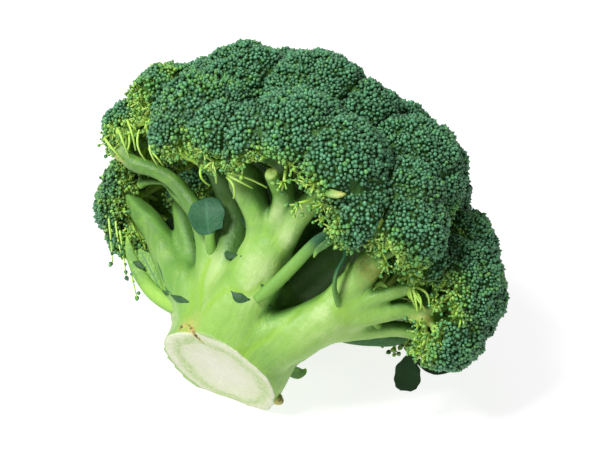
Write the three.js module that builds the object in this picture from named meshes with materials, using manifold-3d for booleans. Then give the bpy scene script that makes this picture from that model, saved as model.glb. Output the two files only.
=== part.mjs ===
// A broccoli head as cut: a short stalk with a slanted cut face, stems that fork out of it,
// the bud clusters (florets) that they carry, and the small leaves left between the stems.
//
// The head is drawn upright, with the origin just inside the cut face, the stalk along +Z
// and its show side towards -Y. It is then tipped towards +Y until it lies on the rim of the
// cut and on its rear florets. Millimetres throughout.
import * as THREE from "three";
import * as BufferGeometryUtils from "three/addons/utils/BufferGeometryUtils.js";
import Module from "manifold-3d";

const wasm = await Module();
wasm.setup();

// ---- driving dimensions ---------------------------------------------------------------------

const LEAN = THREE.MathUtils.degToRad(54); // how far the upright head is tipped over to lie down
const FLOOR_DEPTH = 17; // from the origin of the upright head straight down to the table
const GAP = 0.3; // kept between neighbouring pieces
const CUT_SLANT = THREE.MathUtils.degToRad(10); // of the knife cut, against a square cut
const CUT_DEPTH = 0.7; // of the cut face below the origin, on the axis
const STALK_WIDTH_TO_DEPTH = 1.05; // the stalk is a little wider than deep
const STEM_SIDES = 10;
const RINGS_PER_POINT = 2;
const DOME_SIDES = 12;
const DOME_STEPS = 4;
const LEAF_THICKNESS = 0.9;
const BLADE_HEEL = 1; // how far a blade starts before the end of its petiole
const BLADE_BELLY = 1.15; // fullness of a blade's outline, over its half width
const BLADE_SHOULDER = 0.7; // where a blade starts to narrow, over its length
const BLADE_SEGMENTS = 6;
const NECK_RADIUS = 0.22; // where a lobe meets its hub, over the lobe's radius
const LEAST_LOBE_DEPTH = 0.7; // from a lobe's centre down to its neck, over its radius
const LOBE_SHOULDERS = [[0.78, -0.5], [0.97, -0.2]]; // across and up under the dome, over the radius
const NEIGHBOUR_REACH = 12; // lobes further apart than this never meet
const WELD_DISTANCE = 1e-4;
const REACH = 400; // larger than the whole head

// ---- colours --------------------------------------------------------------------------------

const finish = (color, roughness) => new THREE.MeshStandardMaterial({ color, roughness, metalness: 0 });
const STALK_FINISH = finish(0xa9cf6b, 0.45);
const STEM_FINISH = finish(0x9cc963, 0.45);
const BUD_FINISH = finish(0x2f6b3a, 0.6);
const LEAF_FINISH = finish(0x2f6a55, 0.5);

// ---- the plant, upright -----------------------------------------------------------------------

// Stalk and stems run through points [x, y, z, radius].
const STALK = [
  [-3, 2.4, -8, 21.1],
  [0, 0.8, 8, 20.9],
  [0, 1.8, 22, 20.6],
  [0, 2.5, 32, 15],
];

const STEMS = {
  stem_front: [
    [-0.3, -5.9, 5, 15],
    [3.5, -14.6, 16.8, 12.6],
    [7.6, -21.7, 28.2, 9.8],
    [10.3, -27.5, 37.4, 7.8],
  ],
  stem_front_left: [
    [9.6, -28, 37.6, 5.4],
    [6.4, -35.8, 43.4, 4.6],
    [3.5, -39.2, 47.7, 5.4],
    [-1.4, -40.4, 52.8, 6.2],
  ],
  stem_front_mid: [
    [11.2, -28.8, 38.9, 4.8],
    [13.7, -37.8, 46.7, 3.7],
    [14.5, -42.3, 53, 3.7],
    [12.3, -45.7, 58.3, 3.1],
  ],
  stem_front_right: [
    [14, -28.6, 39.4, 5],
    [19.2, -34.8, 46.9, 3.8],
    [22.8, -38.6, 52.4, 3.6],
    [27.1, -38.9, 56.3, 3.3],
  ],
  stem_right: [
    [1.3, -3.9, 8.4, 14],
    [12.9, -7.3, 12.1, 11.5],
    [25.1, -10.1, 18.1, 8.9],
    [34.6, -12.7, 26.1, 7.6],
  ],
  stem_right_upper: [
    [33.6, -12.1, 26.1, 7],
    [38.6, -16.4, 34.7, 5.8],
    [42.1, -19.4, 41.2, 5],
    [43.8, -21.4, 45.4, 4.4],
  ],
  stem_right_mid: [
    [35.9, -13.7, 27.2, 5],
    [45.7, -14.8, 34.7, 3],
    [53.9, -13.8, 40.9, 2.4],
    [57.8, -13.9, 43.6, 2],
  ],
  stem_right_low: [
    [35.6, -10.8, 25.8, 6],
    [46.6, -9.7, 32.6, 4],
    [56, -7.8, 38.1, 3.1],
    [61.9, -4.9, 39.1, 2.6],
  ],
  stem_right_under: [
    [34.7, -8.4, 24.4, 5.6],
    [44.9, -2.4, 29.9, 3.8],
    [54.1, 1.2, 34.3, 3],
    [61, 4.7, 35.2, 2.4],
  ],
  stem_left: [
    [-7.7, -2.5, 10.2, 13],
    [-17.4, -9.3, 19.5, 9.8],
    [-30.7, -11.7, 28, 6.4],
    [-41.5, -12.6, 36, 4.8],
    [-50.9, -12.8, 41.2, 4.1],
    [-58.7, -13.8, 44.8, 3],
  ],
  stem_left_inner: [
    [-14.4, -7.6, 19.7, 9],
    [-22.9, -11.9, 30.3, 5.6],
    [-29.1, -13.5, 37.5, 3.9],
    [-34.7, -14, 45.2, 3.5],
    [-39, -12, 50, 3],
  ],
  stem_left_upper: [
    [-8.4, -11.7, 20.2, 9],
    [-12.5, -19.6, 30.9, 5.2],
    [-19.2, -24.9, 40.6, 3.8],
    [-26.3, -28.6, 45.8, 3],
    [-33.5, -31.7, 49.3, 2.6],
    [-40.8, -33.9, 50.5, 2.6],
    [-49.2, -34.9, 50.1, 2.7],
    [-55.8, -36.2, 53, 2.4],
  ],
  stem_left_twig: [
    [-26.3, -26.5, 44.5, 2.2],
    [-34.1, -24.5, 47.1, 1.9],
    [-40.4, -25, 50.2, 1.6],
    [-46.2, -25.6, 49.4, 1.5],
    [-49.9, -24.4, 47.4, 1.2],
  ],
  stem_mid: [
    [-3.9, -13.9, 19.6, 9.6],
    [-6.4, -17.8, 32.1, 7.6],
    [-8.8, -20, 43.1, 6.2],
    [-12, -24.5, 51, 5.2],
    [-15.9, -31, 55.3, 4.4],
  ],
  stem_centre: [[0, 2, 28, 13], [0, -2, 54, 11], [0, -6, 74, 8.5]],
  stem_centre_left: [[-4, -6, 62, 6.5], [-14, -14, 74, 5.4], [-22, -20, 80, 4.4]],
  stem_centre_right: [[4, -5, 62, 6.5], [14, -9, 76, 5.4], [20, -12, 83, 4.4]],
  stem_right_high: [[6, 0, 28, 9], [22, -6, 50, 6.8], [35, -11, 68, 5]],
  stem_crown_left: [[-4, 2, 58, 6.5], [-14, 8, 70, 5.4], [-19, 13, 77, 4.4]],
  stem_crown_right: [[4, 2, 58, 6.5], [14, 7, 70, 5.4], [21, 13, 77, 4.4]],
  stem_back: [[-3, 6, 10, 12], [-12, 20, 34, 8.6], [-21, 30, 45, 6]],
  stem_back_left: [[-8, 4, 14, 10], [-26, 12, 36, 8.4], [-40, 19, 50, 6]],
  stem_back_right: [[4, 6, 10, 12], [13, 20, 32, 8.6], [20, 30, 44, 6]],
  stem_side_right: [[10, 4, 16, 10], [28, 12, 36, 6.8], [41, 19, 47, 4.8]],
};

// A floret is one or more domed lobes [x, y, z, radius] that fan out from the hub where its
// stem ends.
const FLORETS = {
  floret_left: {
    hub: [-44, -6, 45],
    lobes: [[-60.5, -5, 47, 16.5], [-57.1, -3.6, 39.9, 13.2], [-58, 8, 57, 16], [-61.8, -8.7, 51.7, 14]],
  },
  floret_left_inner: { hub: [-35, -3, 48], lobes: [[-40, -7, 56, 10], [-48, 0, 72, 16]] },
  floret_upper_left: {
    hub: [-45, -33, 50],
    lobes: [
      [-47.3, -32.8, 72, 17.4],
      [-54.3, -33.3, 63.3, 14.5],
      [-40.8, -43.6, 71.4, 16],
      [-56, -22, 63.5, 10.5],
    ],
  },
  floret_top_left: { hub: [-22, -20, 74], lobes: [[-23.8, -29.7, 88.4, 20.6], [-38, -28, 82, 18]] },
  floret_mid_left: {
    hub: [-15, -37, 48],
    lobes: [[-21, -50, 65, 19], [-7, -57, 59, 13.5], [-24, -55, 58, 12]],
  },
  floret_top: {
    hub: [0, -8, 72],
    lobes: [[3.9, -31.9, 90.9, 20.6], [1.4, -11.3, 94.3, 22], [-17.1, -13.8, 97.9, 20.9]],
  },
  floret_front: {
    hub: [14, -41, 46],
    lobes: [[17, -51, 64, 21.5], [7, -58, 60, 14], [32, -49, 62, 19.5], [41, -43, 54, 15]],
  },
  floret_top_right: {
    hub: [21, -12, 76],
    lobes: [[19.9, -28.1, 88.9, 17.4], [24.4, -7.7, 91.9, 20.5]],
  },
  floret_right: { hub: [34, -11, 64], lobes: [[42.6, -22.4, 79.3, 20.9], [40.9, -4.2, 80.5, 18.6]] },
  floret_right_lower: { hub: [42, -24, 42], lobes: [[53, -31, 56, 17], [49, -33, 65, 16]] },
  floret_far_right: {
    hub: [54, -4, 38],
    lobes: [
      [64.2, 0.2, 51.1, 20.9],
      [67.3, 1.6, 39.9, 15.7],
      [57.7, 4.5, 67.4, 17.1],
      [60.6, -14.4, 51.9, 10.8],
    ],
  },
  floret_back_left: { hub: [-40, 19, 48], lobes: [[-48, 21, 66, 20], [-48, 31, 56, 16]] },
  floret_back: { hub: [-21, 29, 44], lobes: [[-31, 42, 62, 22], [-14, 41, 56, 17.5]] },
  floret_back_right: { hub: [20, 29, 43], lobes: [[32, 42, 60, 21], [10, 42, 60, 18.5]] },
  floret_side_right: { hub: [41, 19, 46], lobes: [[50, 26, 62, 19], [52, 23, 54, 15]] },
  floret_crown_left: {
    hub: [-19, 11, 72],
    lobes: [[-32, 6, 85, 21], [-14, 24, 83, 23], [-21, -2.5, 70, 9.5]],
  },
  floret_crown_right: { hub: [21, 11, 72], lobes: [[10, 16, 90, 23], [32, 16, 80, 22]] },
};

// A leaf has a petiole like a thin stem and may have a blade that starts where it ends.
const FRONT = [0.47, -0.82, -0.33]; // the way most blades face
const LEAVES = {
  leaf_round: {
    petiole: [
      [-11.2, -18, 28.8, 1.9],
      [-10.8, -23.6, 31.2, 1.8],
      [-11.4, -26.8, 33.6, 1.7],
      [-12.2, -29.4, 36, 1.4],
    ],
    blade: { tip: [-17.2, -33.5, 45.9], width: 12, facing: FRONT },
  },
  leaf_long: {
    petiole: [[14.2, -25.6, 19.2, 1.5], [19.7, -27.1, 28.6, 1.8], [26.1, -30.2, 40.6, 1.4]],
    blade: { tip: [32.1, -32.9, 48.3], width: 3.5, facing: FRONT },
  },
  leaf_left: {
    petiole: [
      [-10.3, -9.5, 11.9, 3],
      [-26.3, -10.9, 13.8, 2.5],
      [-39.9, -11.1, 19.3, 1.9],
      [-50, -16.4, 30.4, 0.6],
    ],
  },
  leaf_curl: {
    petiole: [
      [38.8, -16.3, 28.6, 1.2],
      [38.6, -24.9, 31, 1.3],
      [38, -28.2, 36, 1.1],
      [38, -28.2, 42.2, 0.9],
      [33.8, -27.5, 46.4, 0.5],
    ],
  },
  leaf_low: {
    petiole: [[58.9, 7.4, 31.5, 1.1], [58, 9.4, 28.4, 1.1]],
    blade: { tip: [58.8, 15, 18.7], width: 9.4, facing: FRONT },
  },
  leaf_under: {
    petiole: [[32.3, -3.5, 23.7, 2], [38.3, 0.6, 25.4, 1.4]],
    blade: { tip: [56.3, 5.9, 34.7], width: 4.5, facing: [0.35, -0.75, -0.55] },
  },
  leaf_back: {
    petiole: [[14.9, 7.4, 11.6, 1.8], [17.6, 13.4, 11.8, 1.4]],
    blade: { tip: [20.5, 16.5, 15.1], width: 4.5, facing: FRONT },
  },
  leaf_stub: { petiole: [[17, 9.6, 0.4, 2.2], [19.6, 11.2, 0, 2.3], [21.4, 12.4, 0.2, 1.2]] },
};

// ---- solids -----------------------------------------------------------------------------------

const vector = ([x, y, z]) => new THREE.Vector3(x, y, z);

function solidOf(geometry) {
  const bare = geometry.clone();
  bare.deleteAttribute("normal");
  bare.deleteAttribute("uv");
  const merged = BufferGeometryUtils.mergeVertices(bare, WELD_DISTANCE);
  return new wasm.Manifold(
    new wasm.Mesh({
      numProp: 3,
      vertProperties: new Float32Array(merged.attributes.position.array),
      triVerts: new Uint32Array(merged.index.array),
    }),
  );
}

function geometryOf(solid) {
  const mesh = solid.getMesh();
  const geometry = new THREE.BufferGeometry();
  geometry.setAttribute("position", new THREE.BufferAttribute(new Float32Array(mesh.vertProperties), 3));
  geometry.setIndex(new THREE.BufferAttribute(new Uint32Array(mesh.triVerts), 1));
  geometry.computeVertexNormals();
  return geometry;
}

const join = (solids) => solids.reduce((whole, piece) => whole.add(piece));

// The largest body of a solid, without the slivers that its cuts leave.
const mainBody = (solid) =>
  solid.decompose().reduce((largest, body) => (body.volume() > largest.volume() ? body : largest));

// A block that fills everything beyond a plane, on the side that the normal points to.
function beyond(point, normal) {
  const block = new THREE.BoxGeometry(REACH, REACH, REACH);
  block.translate(0, 0, REACH / 2);
  block.applyQuaternion(
    new THREE.Quaternion().setFromUnitVectors(new THREE.Vector3(0, 0, 1), normal),
  );
  block.translate(point.x, point.y, point.z);
  return solidOf(block);
}

// A round stem of changing radius: a cylinder bent along a curve through its points.
function stemGeometry(points, grow = 0, widthToDepth = 1) {
  const steps = RINGS_PER_POINT * (points.length - 1);
  const curve = new THREE.CatmullRomCurve3(points.map(vector));
  const geometry = new THREE.CylinderGeometry(1, 1, 1, STEM_SIDES, steps);
  const position = geometry.attributes.position;
  for (let i = 0; i < position.count; i += 1) {
    const along = position.getY(i) + 0.5;
    const place = along * (points.length - 1);
    const before = Math.min(Math.floor(place), points.length - 2);
    const radius =
      THREE.MathUtils.lerp(points[before][3], points[before + 1][3], place - before) + grow;
    const tangent = curve.getTangent(along);
    const across = new THREE.Vector3(1, 0, 0).addScaledVector(tangent, -tangent.x).normalize();
    const over = new THREE.Vector3().crossVectors(tangent, across);
    const centre = curve.getPoint(along);
    centre.addScaledVector(across, position.getX(i) * radius * widthToDepth);
    centre.addScaledVector(over, -position.getZ(i) * radius);
    position.setXYZ(i, centre.x, centre.y, centre.z);
  }
  return geometry;
}

// One lobe of a floret: a dome over a cone-shaped underside that narrows to the hub.
function lobeGeometry(lobe, hub, grow = 0) {
  const centre = vector(lobe);
  const axis = centre.clone().sub(vector(hub));
  const depth = Math.max(axis.length(), LEAST_LOBE_DEPTH * lobe[3]);
  const radius = lobe[3] + grow;
  const profile = [
    new THREE.Vector2(0, -depth - grow),
    new THREE.Vector2(NECK_RADIUS * radius + grow, -depth - grow),
    ...LOBE_SHOULDERS.map(([across, up]) => new THREE.Vector2(across * radius, up * radius)),
  ];
  for (let i = 0; i <= DOME_STEPS; i += 1) {
    const angle = (i / DOME_STEPS) * (Math.PI / 2);
    const across = i === DOME_STEPS ? 0 : radius * Math.cos(angle);
    profile.push(new THREE.Vector2(across, radius * Math.sin(angle)));
  }
  const geometry = new THREE.LatheGeometry(profile, DOME_SIDES);
  geometry.applyQuaternion(
    new THREE.Quaternion().setFromUnitVectors(new THREE.Vector3(0, 1, 0), axis.normalize()),
  );
  geometry.translate(centre.x, centre.y, centre.z);
  return geometry;
}

// A leaf blade: a thin pointed oval from its base to its tip, a little cupped.
function bladeGeometry(base, { tip, width, facing }) {
  const from = vector(base);
  const along = vector(tip).sub(from);
  const length = along.length();
  along.normalize();
  const outline = new THREE.Shape();
  const half = width / 2;
  const belly = BLADE_BELLY * half;
  const shoulder = BLADE_SHOULDER * length;
  outline.moveTo(0, -BLADE_HEEL);
  outline.bezierCurveTo(half, 0, belly, shoulder, 0, length);
  outline.bezierCurveTo(-belly, shoulder, -half, 0, 0, -BLADE_HEEL);
  const geometry = new THREE.ExtrudeGeometry(outline, {
    depth: LEAF_THICKNESS,
    bevelEnabled: false,
    curveSegments: BLADE_SEGMENTS,
  });
  geometry.translate(0, 0, -LEAF_THICKNESS / 2);
  const across = new THREE.Vector3().crossVectors(along, vector(facing)).normalize();
  const outward = new THREE.Vector3().crossVectors(across, along);
  geometry.applyMatrix4(new THREE.Matrix4().makeBasis(across, along, outward).setPosition(from));
  return geometry;
}

// The plane on which two lobes meet: every point of it is equally deep in both.
function meetingPlane(own, other) {
  const from = vector(own);
  const normal = vector(other).sub(from);
  const distance = normal.length();
  normal.normalize();
  const along = (distance * distance + own[3] ** 2 - other[3] ** 2) / (2 * distance);
  return { point: from.addScaledVector(normal, along - GAP / 2), normal };
}

function floretSolid(name) {
  const strangers = Object.keys(FLORETS)
    .filter((other) => other !== name)
    .flatMap((other) => FLORETS[other].lobes);
  const { hub, lobes } = FLORETS[name];
  const pieces = lobes.map((lobe) => {
    let piece = solidOf(lobeGeometry(lobe, hub));
    for (const other of strangers) {
      if (vector(lobe).distanceTo(vector(other)) < lobe[3] + other[3] + NEIGHBOUR_REACH) {
        const { point, normal } = meetingPlane(lobe, other);
        piece = piece.subtract(beyond(point, normal));
      }
    }
    return piece;
  });
  return join(pieces);
}

const lean = new THREE.Euler(-LEAN, 0, 0);
const upright = new THREE.Quaternion().setFromEuler(lean).invert();
const down = new THREE.Vector3(0, 0, -1).applyQuaternion(upright);
const floor = beyond(down.clone().multiplyScalar(FLOOR_DEPTH), down);

// ---- assembly ---------------------------------------------------------------------------------

const head = new THREE.Group();
head.rotation.copy(lean);

function addPiece(name, solid, material) {
  const mesh = new THREE.Mesh(geometryOf(solid), material);
  mesh.name = name;
  head.add(mesh);
}

// Everything already in place, each piece grown by the gap, for the next pieces to be cut by.
let taken = join(
  Object.values(FLORETS).flatMap(({ hub, lobes }) =>
    lobes.map((lobe) => solidOf(lobeGeometry(lobe, hub, GAP))),
  ),
);

const cutNormal = new THREE.Vector3(0, 0, -1).applyAxisAngle(new THREE.Vector3(1, 0, 0), -CUT_SLANT);
const knife = beyond(cutNormal.clone().multiplyScalar(CUT_DEPTH), cutNormal);
const stalk = solidOf(stemGeometry(STALK, 0, STALK_WIDTH_TO_DEPTH)).subtract(knife).subtract(floor);
addPiece("stalk", stalk, STALK_FINISH);
taken = taken.add(solidOf(stemGeometry(STALK, GAP, STALK_WIDTH_TO_DEPTH)));

for (const [name, points] of Object.entries(STEMS)) {
  const stem = solidOf(stemGeometry(points)).subtract(taken).subtract(knife).subtract(floor);
  addPiece(name, mainBody(stem), STEM_FINISH);
  taken = taken.add(solidOf(stemGeometry(points, GAP)));
}

for (const [name, { petiole, blade }] of Object.entries(LEAVES)) {
  let leaf = solidOf(stemGeometry(petiole));
  if (blade) leaf = leaf.add(solidOf(bladeGeometry(petiole.at(-1), blade)));
  addPiece(name, mainBody(leaf.subtract(taken)), LEAF_FINISH);
}

for (const name of Object.keys(FLORETS)) {
  addPiece(name, floretSolid(name).subtract(floor), BUD_FINISH);
}

// The origin is under the middle of the head, on the table.
head.updateMatrixWorld(true);
const box = new THREE.Box3().setFromObject(head, true);
head.position.set(-(box.min.x + box.max.x) / 2, -(box.min.y + box.max.y) / 2, -box.min.z);

export default head;
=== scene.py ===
"""A broccoli head lying on its side: the visible surfaces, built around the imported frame.

The plant is worked out upright, in millimetres: the origin is just inside the
middle of the cut face, the stalk runs along +Z and the show side faces -Y. to_row() then tips it
over and turns it into metres in the frame's own axes. Every distance in the plant tables is in
those millimetres.
"""
import functools
import math

import bpy
import numpy as np
import openvdb
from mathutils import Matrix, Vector, kdtree


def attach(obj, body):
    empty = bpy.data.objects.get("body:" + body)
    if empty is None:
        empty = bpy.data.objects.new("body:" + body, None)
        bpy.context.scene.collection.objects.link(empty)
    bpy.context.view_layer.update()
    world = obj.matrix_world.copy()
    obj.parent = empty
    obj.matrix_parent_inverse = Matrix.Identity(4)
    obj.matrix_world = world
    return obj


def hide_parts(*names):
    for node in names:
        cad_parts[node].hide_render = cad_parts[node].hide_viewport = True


bl_info = {
    "name": "Broccoli Head",
    "version": (1, 0, 0),
    "blender": (4, 5, 0),
    "location": "View3D > Sidebar > Broccoli",
    "description": "Builds a head of broccoli lying on its side around its packed frame",
    "category": "Add Mesh",
}

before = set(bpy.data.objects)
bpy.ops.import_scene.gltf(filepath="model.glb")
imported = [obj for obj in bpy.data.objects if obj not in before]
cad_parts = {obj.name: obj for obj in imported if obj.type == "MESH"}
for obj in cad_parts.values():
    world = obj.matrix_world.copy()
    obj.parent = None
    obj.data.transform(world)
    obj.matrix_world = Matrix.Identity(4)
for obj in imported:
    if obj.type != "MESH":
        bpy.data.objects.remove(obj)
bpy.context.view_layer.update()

# ---- the plant --------------------------------------------------------------------------------

MM = 0.001
LEAN = math.radians(54)
CUT_CENTRE = np.array([-4.0, -47.25, 17.0])  # the plant's origin, in the row's axes
FLOOR_DEPTH = 17.0
CUT_SLANT = math.radians(10)
CUT_DEPTH = 0.7  # of the cut face below the origin, on the axis
STALK_WIDTH_TO_DEPTH = 1.05
CUT_DISH = 0.9  # how far the soft pith of the cut has sunk
CUT_DISH_RADIUS = 18.0
CUT_WIDTH, CUT_HEIGHT = 22.6, 21.6  # half the rim, where the skin ends

# Points [x, y, z, radius] along the stalk and the stems.
STALK = [[-3, 2.4, -8, 21.1], [0, 0.8, 8, 20.9], [0, 1.8, 22, 20.6], [0, 2.5, 32, 15]]
STEMS = {
    "stem_front": [
        [-0.3, -5.9, 5, 15], [3.5, -14.6, 16.8, 12.6], [7.6, -21.7, 28.2, 9.8], [10.3, -27.5, 37.4, 7.8],
    ],
    "stem_front_left": [
        [9.6, -28, 37.6, 5.4], [6.4, -35.8, 43.4, 4.6], [3.5, -39.2, 47.7, 5.4], [-1.4, -40.4, 52.8, 6.2],
    ],
    "stem_front_mid": [
        [11.2, -28.8, 38.9, 4.8], [13.7, -37.8, 46.7, 3.7], [14.5, -42.3, 53, 3.7],
        [12.3, -45.7, 58.3, 3.1],
    ],
    "stem_front_right": [
        [14, -28.6, 39.4, 5], [19.2, -34.8, 46.9, 3.8], [22.8, -38.6, 52.4, 3.6],
        [27.1, -38.9, 56.3, 3.3],
    ],
    "stem_right": [
        [1.3, -3.9, 8.4, 14], [12.9, -7.3, 12.1, 11.5], [25.1, -10.1, 18.1, 8.9],
        [34.6, -12.7, 26.1, 7.6],
    ],
    "stem_right_upper": [
        [33.6, -12.1, 26.1, 7], [38.6, -16.4, 34.7, 5.8], [42.1, -19.4, 41.2, 5],
        [43.8, -21.4, 45.4, 4.4],
    ],
    "stem_right_mid": [
        [35.9, -13.7, 27.2, 5], [45.7, -14.8, 34.7, 3], [53.9, -13.8, 40.9, 2.4], [57.8, -13.9, 43.6, 2],
    ],
    "stem_right_low": [
        [35.6, -10.8, 25.8, 6], [46.6, -9.7, 32.6, 4], [56, -7.8, 38.1, 3.1], [61.9, -4.9, 39.1, 2.6],
    ],
    "stem_right_under": [
        [34.7, -8.4, 24.4, 5.6], [44.9, -2.4, 29.9, 3.8], [54.1, 1.2, 34.3, 3], [61, 4.7, 35.2, 2.4],
    ],
    "stem_left": [
        [-7.7, -2.5, 10.2, 13], [-17.4, -9.3, 19.5, 9.8], [-30.7, -11.7, 28, 6.4],
        [-41.5, -12.6, 36, 4.8], [-50.9, -12.8, 41.2, 4.1], [-58.7, -13.8, 44.8, 3],
    ],
    "stem_left_inner": [
        [-14.4, -7.6, 19.7, 9], [-22.9, -11.9, 30.3, 5.6], [-29.1, -13.5, 37.5, 3.9],
        [-34.7, -14, 45.2, 3.5], [-39, -12, 50, 3],
    ],
    "stem_left_upper": [
        [-8.4, -11.7, 20.2, 9], [-12.5, -19.6, 30.9, 5.2], [-19.2, -24.9, 40.6, 3.8],
        [-26.3, -28.6, 45.8, 3], [-33.5, -31.7, 49.3, 2.6], [-40.8, -33.9, 50.5, 2.6],
        [-49.2, -34.9, 50.1, 2.7], [-55.8, -36.2, 53, 2.4],
    ],
    "stem_left_twig": [
        [-26.3, -26.5, 44.5, 2.2], [-34.1, -24.5, 47.1, 1.9], [-40.4, -25, 50.2, 1.6],
        [-46.2, -25.6, 49.4, 1.5], [-49.9, -24.4, 47.4, 1.2],
    ],
    "stem_mid": [
        [-3.9, -13.9, 19.6, 9.6], [-6.4, -17.8, 32.1, 7.6], [-8.8, -20, 43.1, 6.2], [-12, -24.5, 51, 5.2],
        [-15.9, -31, 55.3, 4.4],
    ],
    "stem_centre": [[0, 2, 28, 13], [0, -2, 54, 11], [0, -6, 74, 8.5]],
    "stem_centre_left": [[-4, -6, 62, 6.5], [-14, -14, 74, 5.4], [-22, -20, 80, 4.4]],
    "stem_centre_right": [[4, -5, 62, 6.5], [14, -9, 76, 5.4], [20, -12, 83, 4.4]],
    "stem_right_high": [[6, 0, 28, 9], [22, -6, 50, 6.8], [35, -11, 68, 5]],
    "stem_crown_left": [[-4, 2, 58, 6.5], [-14, 8, 70, 5.4], [-19, 13, 77, 4.4]],
    "stem_crown_right": [[4, 2, 58, 6.5], [14, 7, 70, 5.4], [21, 13, 77, 4.4]],
    "stem_back": [[-3, 6, 10, 12], [-12, 20, 34, 8.6], [-21, 30, 45, 6]],
    "stem_back_left": [[-8, 4, 14, 10], [-26, 12, 36, 8.4], [-40, 19, 50, 6]],
    "stem_back_right": [[4, 6, 10, 12], [13, 20, 32, 8.6], [20, 30, 44, 6]],
    "stem_side_right": [[10, 4, 16, 10], [28, 12, 36, 6.8], [41, 19, 47, 4.8]],
}

# Each floret: the hub where its stem ends, its domed lobes [x, y, z, radius], the width of its
# buds, how much of it is loose and lime-coloured, and the stems that feed it.
FLORETS = {
    "floret_left": (
        [-44, -6, 45],
        [[-60.5, -5, 47, 16.5], [-57.1, -3.6, 39.9, 13.2], [-58, 8, 57, 16], [-61.8, -8.7, 51.7, 14]],
        1.3, 0.8, ("stem_left",),
    ),
    "floret_left_inner": (
        [-35, -3, 48], [[-40, -7, 56, 10], [-48, 0, 72, 16]], 1.3, 0.25, ("stem_left_inner",),
    ),
    "floret_upper_left": (
        [-45, -33, 50],
        [
            [-47.3, -32.8, 72, 17.4], [-54.3, -33.3, 63.3, 14.5], [-40.8, -43.6, 71.4, 16],
            [-56, -22, 63.5, 10.5],
        ],
        1.26, 0.95, ("stem_left_upper", "stem_left_twig"),
    ),
    "floret_top_left": (
        [-22, -20, 74], [[-23.8, -29.7, 88.4, 20.6], [-38, -28, 82, 18]], 1.28, 0.2,
        ("stem_centre_left",),
    ),
    "floret_mid_left": (
        [-15, -37, 48], [[-21, -50, 65, 19], [-7, -57, 59, 13.5], [-24, -55, 58, 12]], 1.34, 0.38,
        ("stem_mid", "stem_front_left"),
    ),
    "floret_top": (
        [0, -8, 72], [[3.9, -31.9, 90.9, 20.6], [1.4, -11.3, 94.3, 22], [-17.1, -13.8, 97.9, 20.9]], 1.28,
        0.1, ("stem_centre",),
    ),
    "floret_front": (
        [14, -41, 46], [[17, -51, 64, 21.5], [7, -58, 60, 14], [32, -49, 62, 19.5], [41, -43, 54, 15]],
        1.36, 0.12, ("stem_front_mid", "stem_front_right"),
    ),
    "floret_top_right": (
        [21, -12, 76], [[19.9, -28.1, 88.9, 17.4], [24.4, -7.7, 91.9, 20.5]], 1.26, 0.1,
        ("stem_centre_right",),
    ),
    "floret_right": (
        [34, -11, 64], [[42.6, -22.4, 79.3, 20.9], [40.9, -4.2, 80.5, 18.6]], 1.24, 0.1,
        ("stem_right_high",),
    ),
    "floret_right_lower": (
        [42, -24, 42], [[53, -31, 56, 17], [49, -33, 65, 16]], 1.24, 0.3, ("stem_right_upper",),
    ),
    "floret_far_right": (
        [54, -4, 38],
        [
            [64.2, 0.2, 51.1, 20.9], [67.3, 1.6, 39.9, 15.7], [57.7, 4.5, 67.4, 17.1],
            [60.6, -14.4, 51.9, 10.8],
        ],
        1.2, 0.28, ("stem_right_mid", "stem_right_low", "stem_right_under"),
    ),
    "floret_back_left": (
        [-40, 19, 48], [[-48, 21, 66, 20], [-48, 31, 56, 16]], 1.65, 0.3, ("stem_back_left",),
    ),
    "floret_back": ([-21, 29, 44], [[-31, 42, 62, 22], [-14, 41, 56, 17.5]], 1.65, 0.2, ("stem_back",)),
    "floret_back_right": (
        [20, 29, 43], [[32, 42, 60, 21], [10, 42, 60, 18.5]], 1.65, 0.2, ("stem_back_right",),
    ),
    "floret_side_right": (
        [41, 19, 46], [[50, 26, 62, 19], [52, 23, 54, 15]], 1.6, 0.2, ("stem_side_right",),
    ),
    "floret_crown_left": (
        [-19, 11, 72], [[-32, 6, 85, 21], [-14, 24, 83, 23], [-21, -2.5, 70, 9.5]], 1.4, 0.1,
        ("stem_crown_left",),
    ),
    "floret_crown_right": (
        [21, 11, 72], [[10, 16, 90, 23], [32, 16, 80, 22]], 1.4, 0.1, ("stem_crown_right",),
    ),
}


# Short broken branch ends that stand out of the fringes and the cut: rows [x, y, z, radius].
STUBS = [
    [
        [12.9, -43, 52.1, 2.6], [16.7, -57.1, 50.2, 2.2], [19.3, -66.3, 49.6, 1.9],
        [20.2, -69.9, 50.6, 1.5], [20, -72.7, 51.5, 0.7],
    ],
    [[-8.5, -15.2, 1.5, 2.2], [-6.4, -15.9, 4.4, 2.4], [-3.3, -14.9, 5.6, 2.2], [0.2, -13.4, 4.6, 1.2]],
    [
        [25, -41.2, 52.8, 2.6], [32.8, -52, 51.3, 2], [38.5, -57.9, 49.8, 1.5], [42.6, -59.6, 49.2, 1.2],
        [45.4, -59.5, 50.1, 0.5],
    ],
]

# Where the crown is open and the dark inside shows: rows [x, y, z, radius].
OPENINGS = [[[19.9, -73.7, 44.4, 2.3], [-0.7, -40, 58.9, 2.3]]]

# The stems inside the head and behind it, whose skin is painted darker as the shade of the others.
INNER_STEMS = (
    "stem_mid", "stem_centre", "stem_centre_left", "stem_centre_right", "stem_right_high",
    "stem_crown_left", "stem_crown_right", "stem_back", "stem_back_left", "stem_back_right",
    "stem_side_right",
)

SHOW_WAY = np.array([0.4675, -0.8188, -0.3325])  # out of the show side
FLOOR_UP = np.array([0.0, -math.sin(LEAN), math.cos(LEAN)])
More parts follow.
